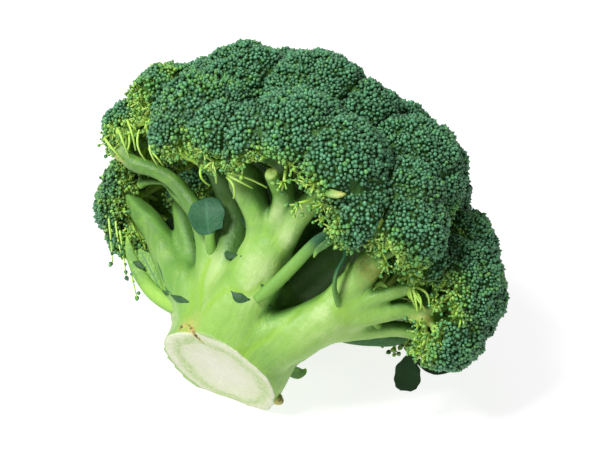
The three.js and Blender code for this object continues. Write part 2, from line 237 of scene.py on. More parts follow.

# Leaves: rows [x, y, z, half width, half thickness] from foot to tip, the way the blade faces,
# how far its sides fold up, how wavy it is, and how blue its blade is, where values over 1 darken it with
# painted shade.
LEAVES = {
    "leaf_round": (
        [
            [-11.2, -18, 28.8, 1.9, 1.7], [-10.8, -23.6, 31.2, 1.8, 1.6], [-11.4, -26.8, 33.6, 1.8, 1.4],
            [-12, -28.8, 35.6, 2, 1.1], [-12.4, -29.9, 36.4, 4, 0.45], [-12.8, -31, 37.7, 5.4, 0.32],
            [-13.6, -32.2, 39.6, 6.1, 0.3], [-14.6, -33, 41.7, 6.1, 0.3], [-15.6, -33.3, 43.6, 5.3, 0.3],
            [-16.5, -33.4, 45, 3.8, 0.3], [-17.2, -33.5, 45.9, 1.2, 0.25],
        ],
        SHOW_WAY, 0.16, 0.5, 1,
    ),
    "leaf_long": (
        [
            [14.2, -25.6, 19.2, 1.5, 1.4], [16.7, -26.5, 22.6, 2.1, 1.7], [19.7, -27.1, 28.6, 2.2, 1.5],
            [22.9, -28.4, 34.8, 2.1, 1.2], [26.1, -30.2, 40.6, 2, 1], [29, -31.9, 44.4, 1.8, 0.7],
            [32.1, -32.9, 48.3, 0.5, 0.4],
        ],
        SHOW_WAY, 0.1, 0.2, 1,
    ),
    "leaf_left": (
        [
            [-10.3, -9.5, 11.9, 3.4, 2.6], [-17.8, -11.7, 12.8, 3.4, 2.4], [-26.3, -10.9, 13.8, 3, 1.9],
            [-33.3, -10.8, 15.7, 2.7, 1.5], [-39.9, -11.1, 19.3, 2.4, 1], [-44.7, -12.9, 23.1, 2, 0.7],
            [-47.6, -14.8, 26.6, 1.4, 0.5], [-50, -16.4, 30.4, 0.4, 0.3],
        ],
        SHOW_WAY, 0.1, 0.2, 0.1,
    ),
    "leaf_curl": (
        [
            [38.8, -16.3, 28.6, 1.1, 0.8], [39.3, -21.2, 29.3, 1.5, 0.8], [38.6, -24.9, 31, 1.6, 0.8],
            [38.3, -27.2, 33.2, 1.5, 0.7], [38, -28.2, 36, 1.4, 0.6], [38, -28.2, 39.1, 1.3, 0.5],
            [38, -28.2, 42.2, 1.2, 0.5], [36.6, -27.7, 44.8, 1, 0.4], [33.8, -27.5, 46.4, 0.4, 0.3],
        ],
        (-0.75, -0.6, 0.1), 0.5, 0.3, 1,
    ),
    "leaf_low": (
        [
            [58.9, 7.4, 31.5, 1, 0.9], [58.3, 8.5, 29.5, 1.2, 0.7], [57.9, 9.8, 27.3, 2.7, 0.4],
            [58.1, 10.9, 24.8, 4.2, 0.35], [58.7, 12.5, 21.8, 4.4, 0.3], [58.8, 13.9, 19.8, 3.7, 0.3],
            [58.8, 15, 18.7, 1.9, 0.3],
        ],
        SHOW_WAY, 0.2, 0.6, 2,
    ),
    "leaf_under": (
        [
            [32.3, -3.5, 23.7, 2.2, 1.6], [38.3, 0.6, 25.4, 2, 0.8], [44.8, 3.3, 28, 2, 0.5],
            [51.5, 5.8, 31.1, 1.6, 0.45], [56.3, 5.9, 34.7, 0.6, 0.3],
        ],
        (0.35, -0.75, -0.55), 0.2, 0.3, 0.8,
    ),
    "leaf_back": (
        [
            [14.9, 7.4, 11.6, 1.8, 1.4], [16.8, 12.1, 11.7, 1.9, 0.8], [18.8, 14.9, 12.2, 2.1, 0.5],
            [20.1, 16.3, 13.6, 1.3, 0.4], [20.5, 16.5, 15.1, 0.4, 0.3],
        ],
        SHOW_WAY, 0.2, 0.3, 0.35,
    ),
    "leaf_stub": (
        [
            [16, 9, 0.6, 1.8, 1.7], [18, 10.2, 0, 2.2, 2], [19.5, 11.2, -0.2, 1.8, 1.7],
            [20.4, 12, 0, 0.8, 0.8],
        ],
        SHOW_WAY, 0, 0, 0,
    ),
    "bract_left": (
        [
            [-29.8, -10.3, 16.7, 1.2, 0.6], [-34.6, -9.6, 20.1, 2.8, 0.3], [-38.5, -10.7, 23.3, 3.6, 0.3],
            [-41.5, -11.5, 25.7, 3, 0.3], [-43.9, -12.4, 27.4, 1.4, 0.3], [-45.1, -12.9, 28.5, 0.4, 0.25],
        ],
        SHOW_WAY, 0.15, 0.6, 0,
    ),
    "bract_curl": (
        [
            [37.4, -13.2, 31, 1.1, 0.8], [36.2, -15.4, 34.9, 1.1, 0.5], [35.4, -16.3, 38.9, 0.9, 0.5],
            [34.9, -16.7, 42.5, 0.7, 0.4], [34.8, -16.7, 45.2, 0.3, 0.3],
        ],
        (-0.5, -0.8, 0.1), 0.3, 0.3, 0.4,
    ),
    "bract_long": (
        [
            [34.6, -32.3, 47.4, 0.8, 0.6], [33.1, -32.6, 44.4, 1.3, 0.45], [31.3, -32.5, 41.7, 1.2, 0.4],
            [29.8, -31.9, 39.6, 0.9, 0.4], [29.1, -30.4, 37.9, 0.3, 0.3],
        ],
        SHOW_WAY, 0.3, 0.4, 0.6,
    ),
    # a dark bract deep among the left stems, put there as painted shade
    "painted_shade_bract": (
        [
            [-48.4, -1, 39.7, 0.8, 0.6], [-47.3, -1.3, 42, 2.2, 0.4], [-45.5, -1.2, 44.3, 3, 0.35],
            [-43.7, -1.1, 46.6, 2.4, 0.3], [-42.5, -1.2, 48.6, 0.6, 0.3],
        ],
        SHOW_WAY, 0.2, 0.4, 2,
    ),
    "bract_low": (
        [
            [58.3, 10.4, 29.3, 0.8, 0.5], [62.1, 14.1, 28.8, 1.5, 0.4], [65.9, 16, 29.4, 1.7, 0.4],
            [69.2, 16.9, 31.7, 1.2, 0.35], [71.1, 17.1, 34, 0.4, 0.3],
        ],
        (0.3, -0.6, -0.7), 0.2, 0.5, 2,
    ),
}

# Bud threads that hang out of the left floret: where each leaves the floret, and its lowest bud.
PENDANTS = [
    ([-57.5, -14, 28.7], [-54.2, -10.4, 21.6]), ([-52.3, -11.4, 26.7], [-48.1, -6.9, 18.6]),
    ([-46.6, -8.8, 22.3], [-41.8, -3.7, 13.5]), ([-54.9, -12.7, 29.4], [-52.7, -11.2, 25.8]),
]

# Bare branchlets that curl out of the fringes: where each starts, how far out it bends, and
# where it goes in again.
STRANDS = [
    ([-1.3, -53.3, 48.6], [7, -57, 48.3], [11.7, -48.7, 49.5]),
    ([-1.1, -53, 48.1], [6, -56.9, 45.8], [7, -48.8, 47.9]),
    ([-1.2, -52.8, 47.4], [4.3, -54.8, 44.1], [1, -46.6, 43.4]),
    ([-9.9, -55.5, 48], [-3.5, -58.7, 46.7], [-5, -50.8, 45.2]),
    ([-10.2, -55.6, 47.8], [-7.7, -57.3, 44.3], [-7.8, -49.6, 44.3]),
    ([57.7, -15.3, 44], [60, -18.2, 39.7], [61.4, -11.9, 38.5]),
    ([58.3, -15.1, 44.3], [63.6, -18.9, 40.5], [65.8, -10.8, 38.1]),
    ([60.4, -15.8, 43.6], [66.5, -18.1, 43.5], [65.8, -12.2, 40]),
    ([58.1, -15, 43.8], [59.4, -18.2, 38.9], [60.7, -12.4, 41]),
    ([61.2, -15.8, 42], [64.9, -18.1, 39.1], [63.9, -13.1, 37.6]),
    ([59.5, -15.4, 42.8], [61.8, -18.6, 38.3], [63.2, -12.4, 36.6]),
    ([-47.7, -45.3, 62.9], [-37.6, -48.9, 59.1], [-39.8, -39.7, 57.3]),
    ([-46.7, -44.6, 62.8], [-39.7, -48.9, 56.1], [-40.2, -39.4, 56.1]),
    ([-59.7, -39.5, 58.8], [-52.5, -42.5, 55.4], [-55.5, -35.9, 52.8]),
    ([-54.5, -41.9, 59.9], [-47.9, -44.2, 53.9], [-53.4, -36.9, 52.3]),
    ([-33.2, -51.7, 69.3], [-27, -55, 65.1], [-31.9, -47.5, 63.6]),
    ([-45, -37.3, 56.1], [-39.1, -40.4, 52.5], [-38.1, -33.2, 52.6]),
    ([32.7, -46.7, 50.2], [31.9, -47.3, 44.6], [31.9, -40.6, 46.1]),
    ([33, -46.6, 50.3], [38.4, -47.6, 48.3], [35.8, -40.8, 46]),
    ([32.6, -46.5, 49.5], [36.6, -47.7, 46.1], [34.9, -41.3, 45.9]),
    ([-50.5, -55.4, 47.8], [-45.2, -55.8, 44.1], [-44.3, -48.3, 44.9]),
    ([-47, -56.4, 52.2], [-41.3, -56.4, 48], [-42.1, -48.7, 46]),
    ([-40, -54.5, 54.5], [-37, -55.2, 48.3], [-36.8, -47.5, 47.5]),
    ([-35.1, -52.4, 53], [-32.6, -53.8, 48], [-32.4, -46.2, 47.5]),
    ([-44.8, -56.7, 55.9], [-39.7, -56.8, 51.5], [-40.5, -50.2, 48.9]),
]

# Leaf scars and torn flakes on the stems: how brown and how lime they are, their half width, and
# points along them, which press() brings onto the skin.
FLAKES = [
    ((0.0, 0.0), 1.25, [[-24.6, -12.2, 16.5], [-21.6, -10.5, 16.7], [-18.2, -9, 17.4]]),
    ((0.0, 0.0), 0.9, [[-28.6, -12.2, 16.6], [-27, -11.7, 16.7], [-25.6, -11.4, 16.8]]),
    ((0.0, 0.0), 1.15, [[-44.2, -13.7, 22.8], [-42, -13.6, 22.7], [-39.2, -12.9, 21.9]]),
    ((0.0, 0.0), 1.45, [[-9.2, -24.4, 32.4], [-5.7, -22.6, 32.5], [-0.2, -22.3, 34]]),
    ((0.0, 0.0), 1.8, [[2.4, -22.7, 21], [5.4, -21, 20.2], [8.8, -19.8, 21.2]]),
    ((0.0, 0.0), 0.75, [[10, -20.9, 27.2], [11.1, -20.2, 27], [12.1, -20.1, 27.7]]),
    ((0.0, 0.0), 0.55, [[19.1, -22.6, 31.7], [19.8, -22, 31], [20.5, -21.5, 30.8]]),
    ((0.0, 0.0), 0.55, [[13.2, -16.2, 22.6], [14.3, -15.6, 22.5], [15.7, -14.6, 22.1]]),
    ((0.0, 0.0), 1.15, [[-20.4, -25, 36], [-19.3, -23.2, 33.3], [-20.4, -21.3, 30]]),
    ((0.0, 0.0), 1.15, [[-6.7, -29.1, 47.5], [-3.4, -28.5, 44.7], [-0.2, -28, 41.9]]),
    ((0.0, 1.0), 1.1, [[48, -10.5, 30.3], [51.2, -8.3, 29.3], [55, -7.5, 32.9]]),
    ((0.0, 1.0), 1.1, [[46.5, -15.8, 38.3], [48, -16, 41], [50.2, -14.8, 41.2]]),
    ((0.0, 1.0), 1.1, [[46.4, -23.7, 48.7], [48.6, -21.1, 45.4], [50.8, -19.5, 44.6]]),
    ((1.0, 0.3), 0.7, [[-11.4, -17.8, 2.9], [-10.9, -18.1, 4.6], [-8.3, -19.1, 5.7]]),
    ((1.0, 0.3), 0.9, [[-8.3, -19.1, 5.7], [-4.5, -19.6, 3.6], [-1.5, -16.1, 2.2]]),
    ((0.0, 0.2), 0.35, [[-33.8, -16, 24.8], [-29.7, -16, 21.1], [-26.6, -15.5, 17.4]]),
    ((0.0, 0.2), 0.35, [[-26.6, -15.5, 17.4], [-24.6, -15.8, 16], [-22, -16.6, 15.4]]),
]

# Lime lines where stems and old leaf feet meet, with points that press() brings onto the skin.
SEAMS = [
    [[6, -28.8, 19.2], [2.5, -28.1, 17.2], [-0.2, -26.3, 13.3], [-2.7, -24, 9.8], [-3.8, -22.3, 6.7]],
    [[6.4, -28.7, 19], [9.5, -28, 19.2], [12.2, -27.3, 20.4], [13.6, -27.7, 22.6], [14.6, -27.7, 24.5]],
    [[-4.2, -22.2, 7.4], [-6.9, -21.9, 14.5], [-10, -22.2, 20.9], [-10.4, -24, 27.8]],
    [[26.8, -18.7, 23.2], [23.3, -18.6, 15.3], [19.8, -17.5, 9.9], [15, -16.3, 5.2], [13.1, -15.3, 2]],
]
SEAM_DEPTH = 0.45
SEAM_WIDTH = 0.9
SEAM_REACH = 2.0  # how far from the skin the groove of a seam is worked out

# Painted highlights, pale patches on the skin of the stems: [x, y, z, radius].
PAINTED_HIGHLIGHTS = [
    [12.5, -31.2, 28.1, 7], [12.2, -29, 23.3, 5], [13.2, -40.4, 46.7, 5], [-6, -24.2, 24.6, 7],
    [-21.4, -10.1, 8.9, 8], [35.2, -19.5, 23.9, 4], [18.8, -35, 39.2, 4],
]

# Dry tan patches on the skin of the stems: [x, y, z, radius].
TAN_PATCHES = [
    [63.4, -5.6, 36.9, 4.5], [50.1, -20, 44.9, 4], [30.4, -38.6, 57, 4.2], [-22.7, -40.9, 54.2, 3.5],
    [-11.3, -39.6, 54.9, 3], [-54.9, -34.3, 49.7, 4], [-7, -18.5, 4, 6], [18, -65, 51.5, 6],
    [9, -48.2, 59.8, 3.5], [45, -21.1, 43.5, 5], [45, -60.5, 50, 4],
]

GOLDEN_TURN = math.pi * (3 - math.sqrt(5))
ANY_TURN = 6.3  # the highest random turn, in radians: just over a whole one
HEXAGON_SHARE = math.sqrt(3) / 2  # the area that one bud takes, over its width squared
FAR = 30.0  # the distance field's value well outside


def to_row(points):
    """Upright plant millimetres to metres in the row's axes."""
    points = np.asarray(points, float)
    sine, cosine = math.sin(LEAN), math.cos(LEAN)
    turned = np.stack(
        [
            points[..., 0],
            cosine * points[..., 1] + sine * points[..., 2],
            cosine * points[..., 2] - sine * points[..., 1],
        ],
        -1,
    )
    return (turned + CUT_CENTRE) * MM


def height_over_floor(points):
    """Height over the table, in millimetres, of upright plant points."""
    return math.cos(LEAN) * points[..., 2] - math.sin(LEAN) * points[..., 1] + FLOOR_DEPTH


def unit(vectors):
    """Vectors of length 1, along the last axis."""
    return vectors / np.maximum(np.linalg.norm(vectors, axis=-1, keepdims=True), 1e-9)


def square_frames(normals, turns=0.0):
    """Two directions across each normal, turned about it, so that the three make a frame."""
    normals = np.asarray(normals, float)
    helper = np.where(np.abs(normals[..., :1]) < 0.7, [1.0, 0.0, 0.0], [0.0, 1.0, 0.0])
    first = unit(np.cross(helper, normals))
    second = np.cross(normals, first)
    turns = np.asarray(turns)[..., None]
    return (
        np.cos(turns) * first + np.sin(turns) * second,
        np.cos(turns) * second - np.sin(turns) * first,
    )


WAVE_COUNT = 7
WAVE_PACES = 0.65, 1.5  # the lowest and highest, over one wave in each wavelength
WAVE_HEIGHT = 1.4  # of the waves added up, over the square root of their count


def waves(points, wavelength, seed):
    """Smooth uneven waves between about -1 and 1 at the points."""
    chance = np.random.default_rng(seed)
    total = 0.0
    for _ in range(WAVE_COUNT):
        direction = unit(chance.normal(size=3))
        pace = math.tau / wavelength * chance.uniform(*WAVE_PACES)
        total = total + np.sin(points @ direction * pace + chance.uniform(0, math.tau))
    return total / math.sqrt(WAVE_COUNT) / WAVE_HEIGHT


def spiral_directions(count):
    """Evenly spread directions in the golden spiral that buds grow in, from +Z downwards."""
    step = np.arange(count) + 0.5
    height = 1 - 2 * step / count
    across = np.sqrt(1 - height**2)
    angle = step * GOLDEN_TURN
    return np.stack([across * np.cos(angle), across * np.sin(angle), height], -1)


def smooth_path(points, steps=5):
    """A Catmull-Rom curve through rows of numbers, with steps to each stretch."""
    points = np.asarray(points, float)
    ends = np.vstack([2 * points[0] - points[1], points, 2 * points[-1] - points[-2]])
    rows = []
    for i in range(len(points) - 1):
        a, b, c, d = ends[i : i + 4]
        for t in np.arange(steps) / steps:
            rows.append(
                0.5
                * (
                    2 * b
                    + (c - a) * t
                    + (2 * a - 5 * b + 4 * c - d) * t**2
                    + (3 * b - a - 3 * c + d) * t**3
                )
            )
    rows.append(points[-1])
    return np.array(rows)


# ---- distance fields --------------------------------------------------------------------------


def soft_min(a, b, softness):
    """The smaller of two distances, with a rounded join where they are close."""
    share = np.clip(0.5 + 0.5 * (b - a) / softness, 0, 1)
    return b + (a - b) * share - softness * share * (1 - share)


class Field:
    """Signed distances in millimetres, negative inside, on a regular grid."""

    def __init__(self, low, high, pitch):
        self.low = np.asarray(low, float)
        self.pitch = pitch
        self.shape = np.ceil((np.asarray(high, float) - self.low) / pitch).astype(int) + 1
        self.values = np.full(self.shape, FAR, np.float32)

    def block(self, low, high):
        """The slices of the cells between two corners, and the points at those cells."""
        first = np.clip(np.floor((low - self.low) / self.pitch).astype(int), 0, self.shape)
        last = np.clip(np.ceil((high - self.low) / self.pitch).astype(int) + 1, 0, self.shape)
        lines = [self.low[k] + self.pitch * np.arange(first[k], last[k]) for k in range(3)]
        points = np.stack(np.meshgrid(*lines, indexing="ij"), -1)
        return tuple(slice(a, b) for a, b in zip(first, last)), points

    def points(self):
        return self.block(self.low, self.low + self.shape * self.pitch)[1]

    def join_balls(self, centres, radii, softness):
        for centre, radius in zip(centres, radii):
            reach = radius + 3 * softness + 2 * self.pitch
            slices, points = self.block(centre - reach, centre + reach)
            distance = np.linalg.norm(points - centre, axis=-1) - radius
            self.values[slices] = soft_min(self.values[slices], distance, softness)

    def join_path(self, path, softness, widening=1.0):
        """Joins a round stem whose path has rows of x, y, z and radius."""
        reach = path[:, 3:] * widening + 3 * softness + 2 * self.pitch
        slices, points = self.block((path[:, :3] - reach).min(0), (path[:, :3] + reach).max(0))
        nearest = np.full(points.shape[:-1], FAR, np.float32)
        for a, b in zip(path[:-1], path[1:]):
            along = b[:3] - a[:3]
            offset = points - a[:3]
            place = np.clip(offset @ along / (along @ along), 0, 1)
            offset = offset - place[..., None] * along
            offset[..., 0] /= widening
            distance = np.linalg.norm(offset, axis=-1) - (a[3] + (b[3] - a[3]) * place)
            nearest = np.minimum(nearest, distance)
        self.values[slices] = soft_min(self.values[slices], nearest, softness)

    def sample(self, points, values=None):
        """Values between the cells, at any points."""
        values = self.values if values is None else values
        place = np.clip((points - self.low) / self.pitch, 0, np.array(self.shape) - 1.001)
        cell = place.astype(int)
        part = place - cell
        total = 0.0
        for corner in np.ndindex(2, 2, 2):
            weight = np.prod(np.where(corner, part, 1 - part), axis=-1)
            total = total + weight * values[tuple(np.moveaxis(cell + corner, -1, 0))]
        return total

    def surface(self):
        """Points and outward triangles of the surface at zero."""
        grid = openvdb.FloatGrid(FAR)
        grid.copyFromArray(self.values)
        points, triangles, quads = grid.convertToPolygons(isovalue=0.0)
        points = points.astype(float) * self.pitch + self.low
        faces = np.vstack([triangles, quads[:, [0, 1, 2]], quads[:, [0, 2, 3]]]).astype(np.int64)
        corners = points[faces]
        volume = np.einsum("ij,ij->", corners[:, 0], np.cross(corners[:, 1], corners[:, 2]))
        return points, faces if volume > 0 else faces[:, ::-1]


# ---- meshes -----------------------------------------------------------------------------------


def make_mesh(name, points, faces, values=None, plans=None):
    """A smooth-shaded object in the row's metres from upright plant points and triangles.

    values holds named numbers or vectors for each point, and plans a map position for each
    corner of each face.
    """
    mesh = bpy.data.meshes.new(name)
    mesh.vertices.add(len(points))
    mesh.vertices.foreach_set("co", to_row(points).astype(np.float32).ravel())
    mesh.loops.add(faces.size)
    mesh.loops.foreach_set("vertex_index", faces.astype(np.int32).ravel())
    mesh.polygons.add(len(faces))
    mesh.polygons.foreach_set("loop_start", np.arange(0, faces.size, 3, dtype=np.int32))
    mesh.update(calc_edges=True)
    mesh.shade_smooth()
    for key, numbers in (values or {}).items():
        numbers = np.asarray(numbers, np.float32)
        kind, field = ("FLOAT_VECTOR", "vector") if numbers.ndim == 2 else ("FLOAT", "value")
        mesh.attributes.new(key, kind, "POINT").data.foreach_set(field, numbers.ravel())
    if plans is not None:
        mesh.uv_layers.new(name="OFBake").data.foreach_set("uv", plans.astype(np.float32).ravel())
    mesh.validate()
    piece = bpy.data.objects.new(name, mesh)
    bpy.context.scene.collection.objects.link(piece)
    return piece


def settle(piece, material, slot, *nodes):
    """Gives a piece its material, and puts it in the place of its CAD nodes. The slot is not used."""
    piece.data.materials.append(material)
    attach(piece, "root")
    if nodes:
        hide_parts(*nodes)


TIP_LENGTH = 0.6  # of a tube past its end rings, over its radius


def tube_faces(stations, sides):
    """Triangles of a closed tube whose two tips follow the points of its rings."""
    faces = []
    for station in range(stations - 1):
        for side in range(sides):
            a, b = station * sides + side, station * sides + (side + 1) % sides
            faces += [[a, b, b + sides], [a, b + sides, a + sides]]
    last = (stations - 1) * sides
    for side in range(sides):
        after = (side + 1) % sides
        faces.append([stations * sides, after, side])
        faces.append([stations * sides + 1, last + side, last + after])
    return np.array(faces)


def tubes(paths, sides):
    """Closed round tubes along many paths of equal length, as points, faces and two values.

    paths has the shape (tubes, stations, 4), with x, y, z and radius in the last axis.
    """
    count, stations, _ = paths.shape
    spine, radius = paths[..., :3], paths[..., 3]
    tangent = unit(np.gradient(spine, axis=1))
    whole = unit(spine[:, -1] - spine[:, 0])
    first, _ = square_frames(whole)
    across = unit(first[:, None] - np.sum(first[:, None] * tangent, -1, keepdims=True) * tangent)
    over = np.cross(tangent, across)
    angle = math.tau * np.arange(sides) / sides
    ring = (
        np.cos(angle)[:, None] * across[:, :, None] + np.sin(angle)[:, None] * over[:, :, None]
    ) * radius[:, :, None, None]
    body = (spine[:, :, None] + ring).reshape(count, -1, 3)
    tips = np.stack(
        [
            spine[:, 0] - tangent[:, 0] * radius[:, :1] * TIP_LENGTH,
            spine[:, -1] + tangent[:, -1] * radius[:, -1:] * TIP_LENGTH,
        ],
        1,
    )
    points = np.concatenate([body, tips], 1)
    per_tube = stations * sides + 2
    faces = tube_faces(stations, sides)[None] + per_tube * np.arange(count)[:, None, None]
    along = np.repeat(np.linspace(0, 1, stations), sides)
    along = np.tile(np.append(along, [0, 1]), count)
    return points.reshape(-1, 3), faces.reshape(-1, 3), along, np.repeat(np.arange(count), per_tube)


# ---- the crown --------------------------------------------------------------------------------

STEMS_BOX = ((-66, -60, -4), (72, 42, 98))
STEM_SOFTNESS = 1.9
RIB_SOURCE = np.array([0, 0, -30.0])  # where the long ribs fan out from
PRESS_REACH = 14.0
PRESS_STEP = 0.2
SLOPE_STEP = 0.8
SHELTER_REACHES = (3.5, 7.0, 12.0, 18.0)
NEAR_SKIN = 3.0  # how far from a core's surface its finer shape is worked out
SKIN_DEPTH = 0.9  # of the bud beds under the round of a lobe
CLUSTER_SPACING = 9.0
CLUSTER_RADIUS = (5.4, 7.0)
CLUSTER_RISE = (-0.5, 0.7)
CORE_DEPTH = 1.6  # of the plain lobe under its clusters
CREASE_SOFTNESS = 0.4
LOBE_OVERLAP = 40.0  # of a lobe's clusters past its neighbours, as the power diagram measures it
SHOW_LIMIT = -22.0  # lobes further back than this from the middle of the crown are plainer
RIM = -0.20  # the lowest packed buds on a lobe, over its radius, along its axis
REAR_RIM = -0.48  # the same on the lobes that close the head behind
BUD_STRAY = 0.10  # of a bud from the even pattern, over its width
BUD_SHIFT = 0.75  # the furthest that the skin may move a bud, over its width
BUD_CROWDING = 0.80  # the least spacing of buds, over their width
BUD_OVER_FLOOR = 0.3  # the lowest bud, over its width
KNOT_SPACING = 3.5  # between the little umbels that the buds stand in
KNOT_CROWDING = 0.86
KNOT_RISE = 0.42  # of the middle of an umbel over its edge
UMBEL_LIFT = (-1.6, 1.8)  # of a loose umbel off the lobe
UMBEL_LOSS = 0.16  # share of the loosest umbels that are missing
UMBEL_DEPTH = 2.4  # of the foot of an umbel under its buds
VALLEY_REACH = 130.0  # of the valley between two lobes, which sinks and gets painted shade, as the power diagram measures it
VALLEY_DEPTH = 0.7
BUD_REST = 1.0  # the lowest middle of a bud over the table
FRINGE_ROWS = ((-0.20, 0.95), (-0.46, 0.83))  # height and reach, over the radius
FRINGE_SPACING = 5.0
PEDICELS = 6
PEDICEL_LENGTH = (2.6, 5.2)
KNOT_DEPTH = 2.6
KNOT_OVER_FLOOR = 2.5


def looseness(fresh):
    """How far fresh buds have come apart, from 0 to 1."""
    return np.clip(fresh * 1.5 - 0.45, 0, 1)


class Crown:
    """Where every lobe, cluster, bud and fringe stalk of the head is."""

    SEED = 11

    def __init__(self):
        self.chance = np.random.default_rng(self.SEED)
        rows = np.array(
            [
                (f, *lobe, *hub, width, fresh)
                for f, (hub, lobes, width, fresh, _) in enumerate(FLORETS.values())
                for lobe in lobes
            ],
            float,
        )
        self.floret = rows[:, 0].astype(int)
        self.centre = rows[:, 1:4]
        self.radius = rows[:, 4] - SKIN_DEPTH
        self.axis = unit(self.centre - rows[:, 5:8])
        self.width, self.fresh = rows[:, 8], rows[:, 9]
        self.shown = (self.centre - self.centre.mean(0)) @ SHOW_WAY > SHOW_LIMIT
        self.rim = np.where(self.shown, RIM, REAR_RIM)
        self.grow_clusters()
        self.grow_buds()
        self.grow_fringe()
        self.grow_limbs()

    def depths(self, points):
        """How deep each point lies in each lobe, as the power diagram measures it."""
        square = ((points[:, None] - self.centre[None]) ** 2).sum(-1)
        return square - self.radius**2

    def freshness(self, points, lobes):
        """How loose and lime-coloured the buds are at points of lobes, from 0 to 1."""
        height = ((points - self.centre[lobes]) * self.axis[lobes]).sum(1) / self.radius[lobes]
        rim = np.clip((0.30 - height) / 0.5, 0, 1) ** 1.3
        patch = np.clip(0.5 + 0.75 * waves(points, 17.0, 21), 0, 1) * self.fresh[lobes]
        return np.clip(0.75 * rim + patch, 0, 1)

    def grow_clusters(self):
        centres, radii, lobes = [], [], []
        for i, (centre, radius, axis) in enumerate(zip(self.centre, self.radius, self.axis)):
            count = int(4 * math.pi * radius**2 / (HEXAGON_SHARE * CLUSTER_SPACING**2))
            across, over = square_frames(axis[None], self.chance.uniform(0, ANY_TURN, 1))
            local = spiral_directions(count) + self.chance.normal(0, 0.06, (count, 3))
            out = unit(local @ np.vstack([across, over, axis[None]]))
            size = self.chance.uniform(*CLUSTER_RADIUS, count)
            rise = self.chance.uniform(*CLUSTER_RISE, count)
            tops = centre + out * radius
            depth = self.depths(tops)
            keep = (depth[:, i] <= depth.min(1) + LOBE_OVERLAP) & (out @ axis > self.rim[i])
            centres.append((centre + out * (radius + rise - size)[:, None])[keep])
            radii.append(size[keep])
            lobes.append(np.full(keep.sum(), i))
        self.cluster_centre = np.vstack(centres)
        self.cluster_radius = np.concatenate(radii)
        self.cluster_lobe = np.concatenate(lobes)

    def skin(self, points, lobe):
        """Distance over the bumpy crown near one lobe, and the way straight out of it."""
        centres = np.vstack([self.cluster_centre, self.centre])
        radii = np.concatenate([self.cluster_radius, self.radius - CORE_DEPTH])
        near = np.linalg.norm(centres - self.centre[lobe], axis=1) < self.radius[lobe] + radii + 8
        offset = points[:, None] - centres[None, near]
        length = np.linalg.norm(offset, axis=-1)
        distance = length - radii[near]
        closest = distance.min(1, keepdims=True)
        share = np.exp((closest - distance) / CREASE_SOFTNESS)
        total = share.sum(1, keepdims=True)
        out = ((share / total)[..., None] * offset / np.maximum(length, 1e-6)[..., None]).sum(1)
        return closest[:, 0] - CREASE_SOFTNESS * np.log(total[:, 0]), unit(out)

    def grow_buds(self):
        places, outs, lobes, clusters, order = [], [], [], [], []
        for c, (centre, radius, lobe) in enumerate(
            zip(self.cluster_centre, self.cluster_radius, self.cluster_lobe)
        ):
            width = self.width[lobe]
            lobe_centre, lobe_radius, axis = self.centre[lobe], self.radius[lobe], self.axis[lobe]
            count = int(4 * math.pi * radius**2 / (HEXAGON_SHARE * width**2))
            top = unit(centre - lobe_centre)
            across, over = square_frames(top[None], self.chance.uniform(0, ANY_TURN, 1))
            local = spiral_directions(count)
            out = unit(local @ np.vstack([across, over, top[None]]))[local[:, 2] > 0.0]
            points = centre + out * radius
            points += self.chance.normal(0, BUD_STRAY * width, points.shape)
            start = points
            for _ in range(3):
                distance, normal = self.skin(points, lobe)
                points = points - distance[:, None] * normal
            moved = np.linalg.norm(points - start, axis=1)
            owner = self.depths(points).argmin(1)
            height = ((points - lobe_centre) @ axis) / lobe_radius
            low = self.rim[lobe] + 0.09 * waves(points, 8.0, 5)
            keep = (moved < BUD_SHIFT * width) & (height > low)
            keep &= self.floret[owner] == self.floret[lobe]
            keep &= height_over_floor(points) > BUD_OVER_FLOOR * width
            keep &= clear_of_paths(points, STUBS) > 1.0
            keep &= clear_of_paths(points, OPENINGS) > 0
            places.append(points[keep])
            outs.append(unit(0.75 * normal[keep] + 0.25 * unit(points[keep] - lobe_centre)))
            lobes.append(np.full(keep.sum(), lobe))
            clusters.append(np.full(keep.sum(), c))
            order.append(np.linalg.norm(points[keep] - (centre + top * radius), axis=1))
        places, outs = np.vstack(places), np.vstack(outs)
        lobes, clusters = np.concatenate(lobes), np.concatenate(clusters)
        keep = thinned(places, BUD_CROWDING * self.width[lobes], np.argsort(np.concatenate(order)))
        self.set_in_umbels(places[keep], outs[keep], lobes[keep], clusters[keep])

    def set_in_umbels(self, places, outs, lobes, clusters):
        """Domes the buds into little umbels, and loosens them where they are fresh."""
        spacing = np.full(len(places), KNOT_SPACING * KNOT_CROWDING)
        heads = np.flatnonzero(thinned(places, spacing, self.chance.permutation(len(places))))
        tree = tree_of(places[heads])
        found = [tree.find(place) for place in places]
        own = np.array([hit[1] for hit in found])
        away = np.clip(np.array([hit[2] for hit in found]) / (0.5 * KNOT_SPACING), 0, 1.3)
        loose = looseness(self.freshness(places[heads], lobes[heads]))
        lift = loose * self.chance.uniform(*UMBEL_LIFT, len(heads))
        kept = self.chance.uniform(0, 1, len(heads)) > UMBEL_LOSS * np.clip(2 * loose - 1, 0, 1)
        self.umbel = places[heads] + outs[heads] * (lift - UMBEL_DEPTH)[:, None]
        self.umbel_lobe, self.umbel_cluster = lobes[heads], clusters[heads]
        self.umbel_open = kept & (loose > 0.1)
        rise = KNOT_RISE * (0.6 - away**2) * (1 + loose[own]) + lift[own]
        rise += loose[own] * self.chance.uniform(-0.7, 0.7, len(places))
        depth = np.sort(self.depths(places), axis=1)
        valley = np.clip(1 - (depth[:, 1] - depth[:, 0]) / VALLEY_REACH, 0, 1)
        rise -= VALLEY_DEPTH * valley**2
        keep = kept[own] & (self.chance.uniform(0, 1, len(places)) > 0.25 * loose[own])
        spread = (places - places[heads][own]) * (0.10 * loose[own])[:, None]
        places = places + outs * rise[:, None] + spread
        sunk = np.maximum(BUD_REST - height_over_floor(places), 0)
        places = places + sunk[:, None] * FLOOR_UP
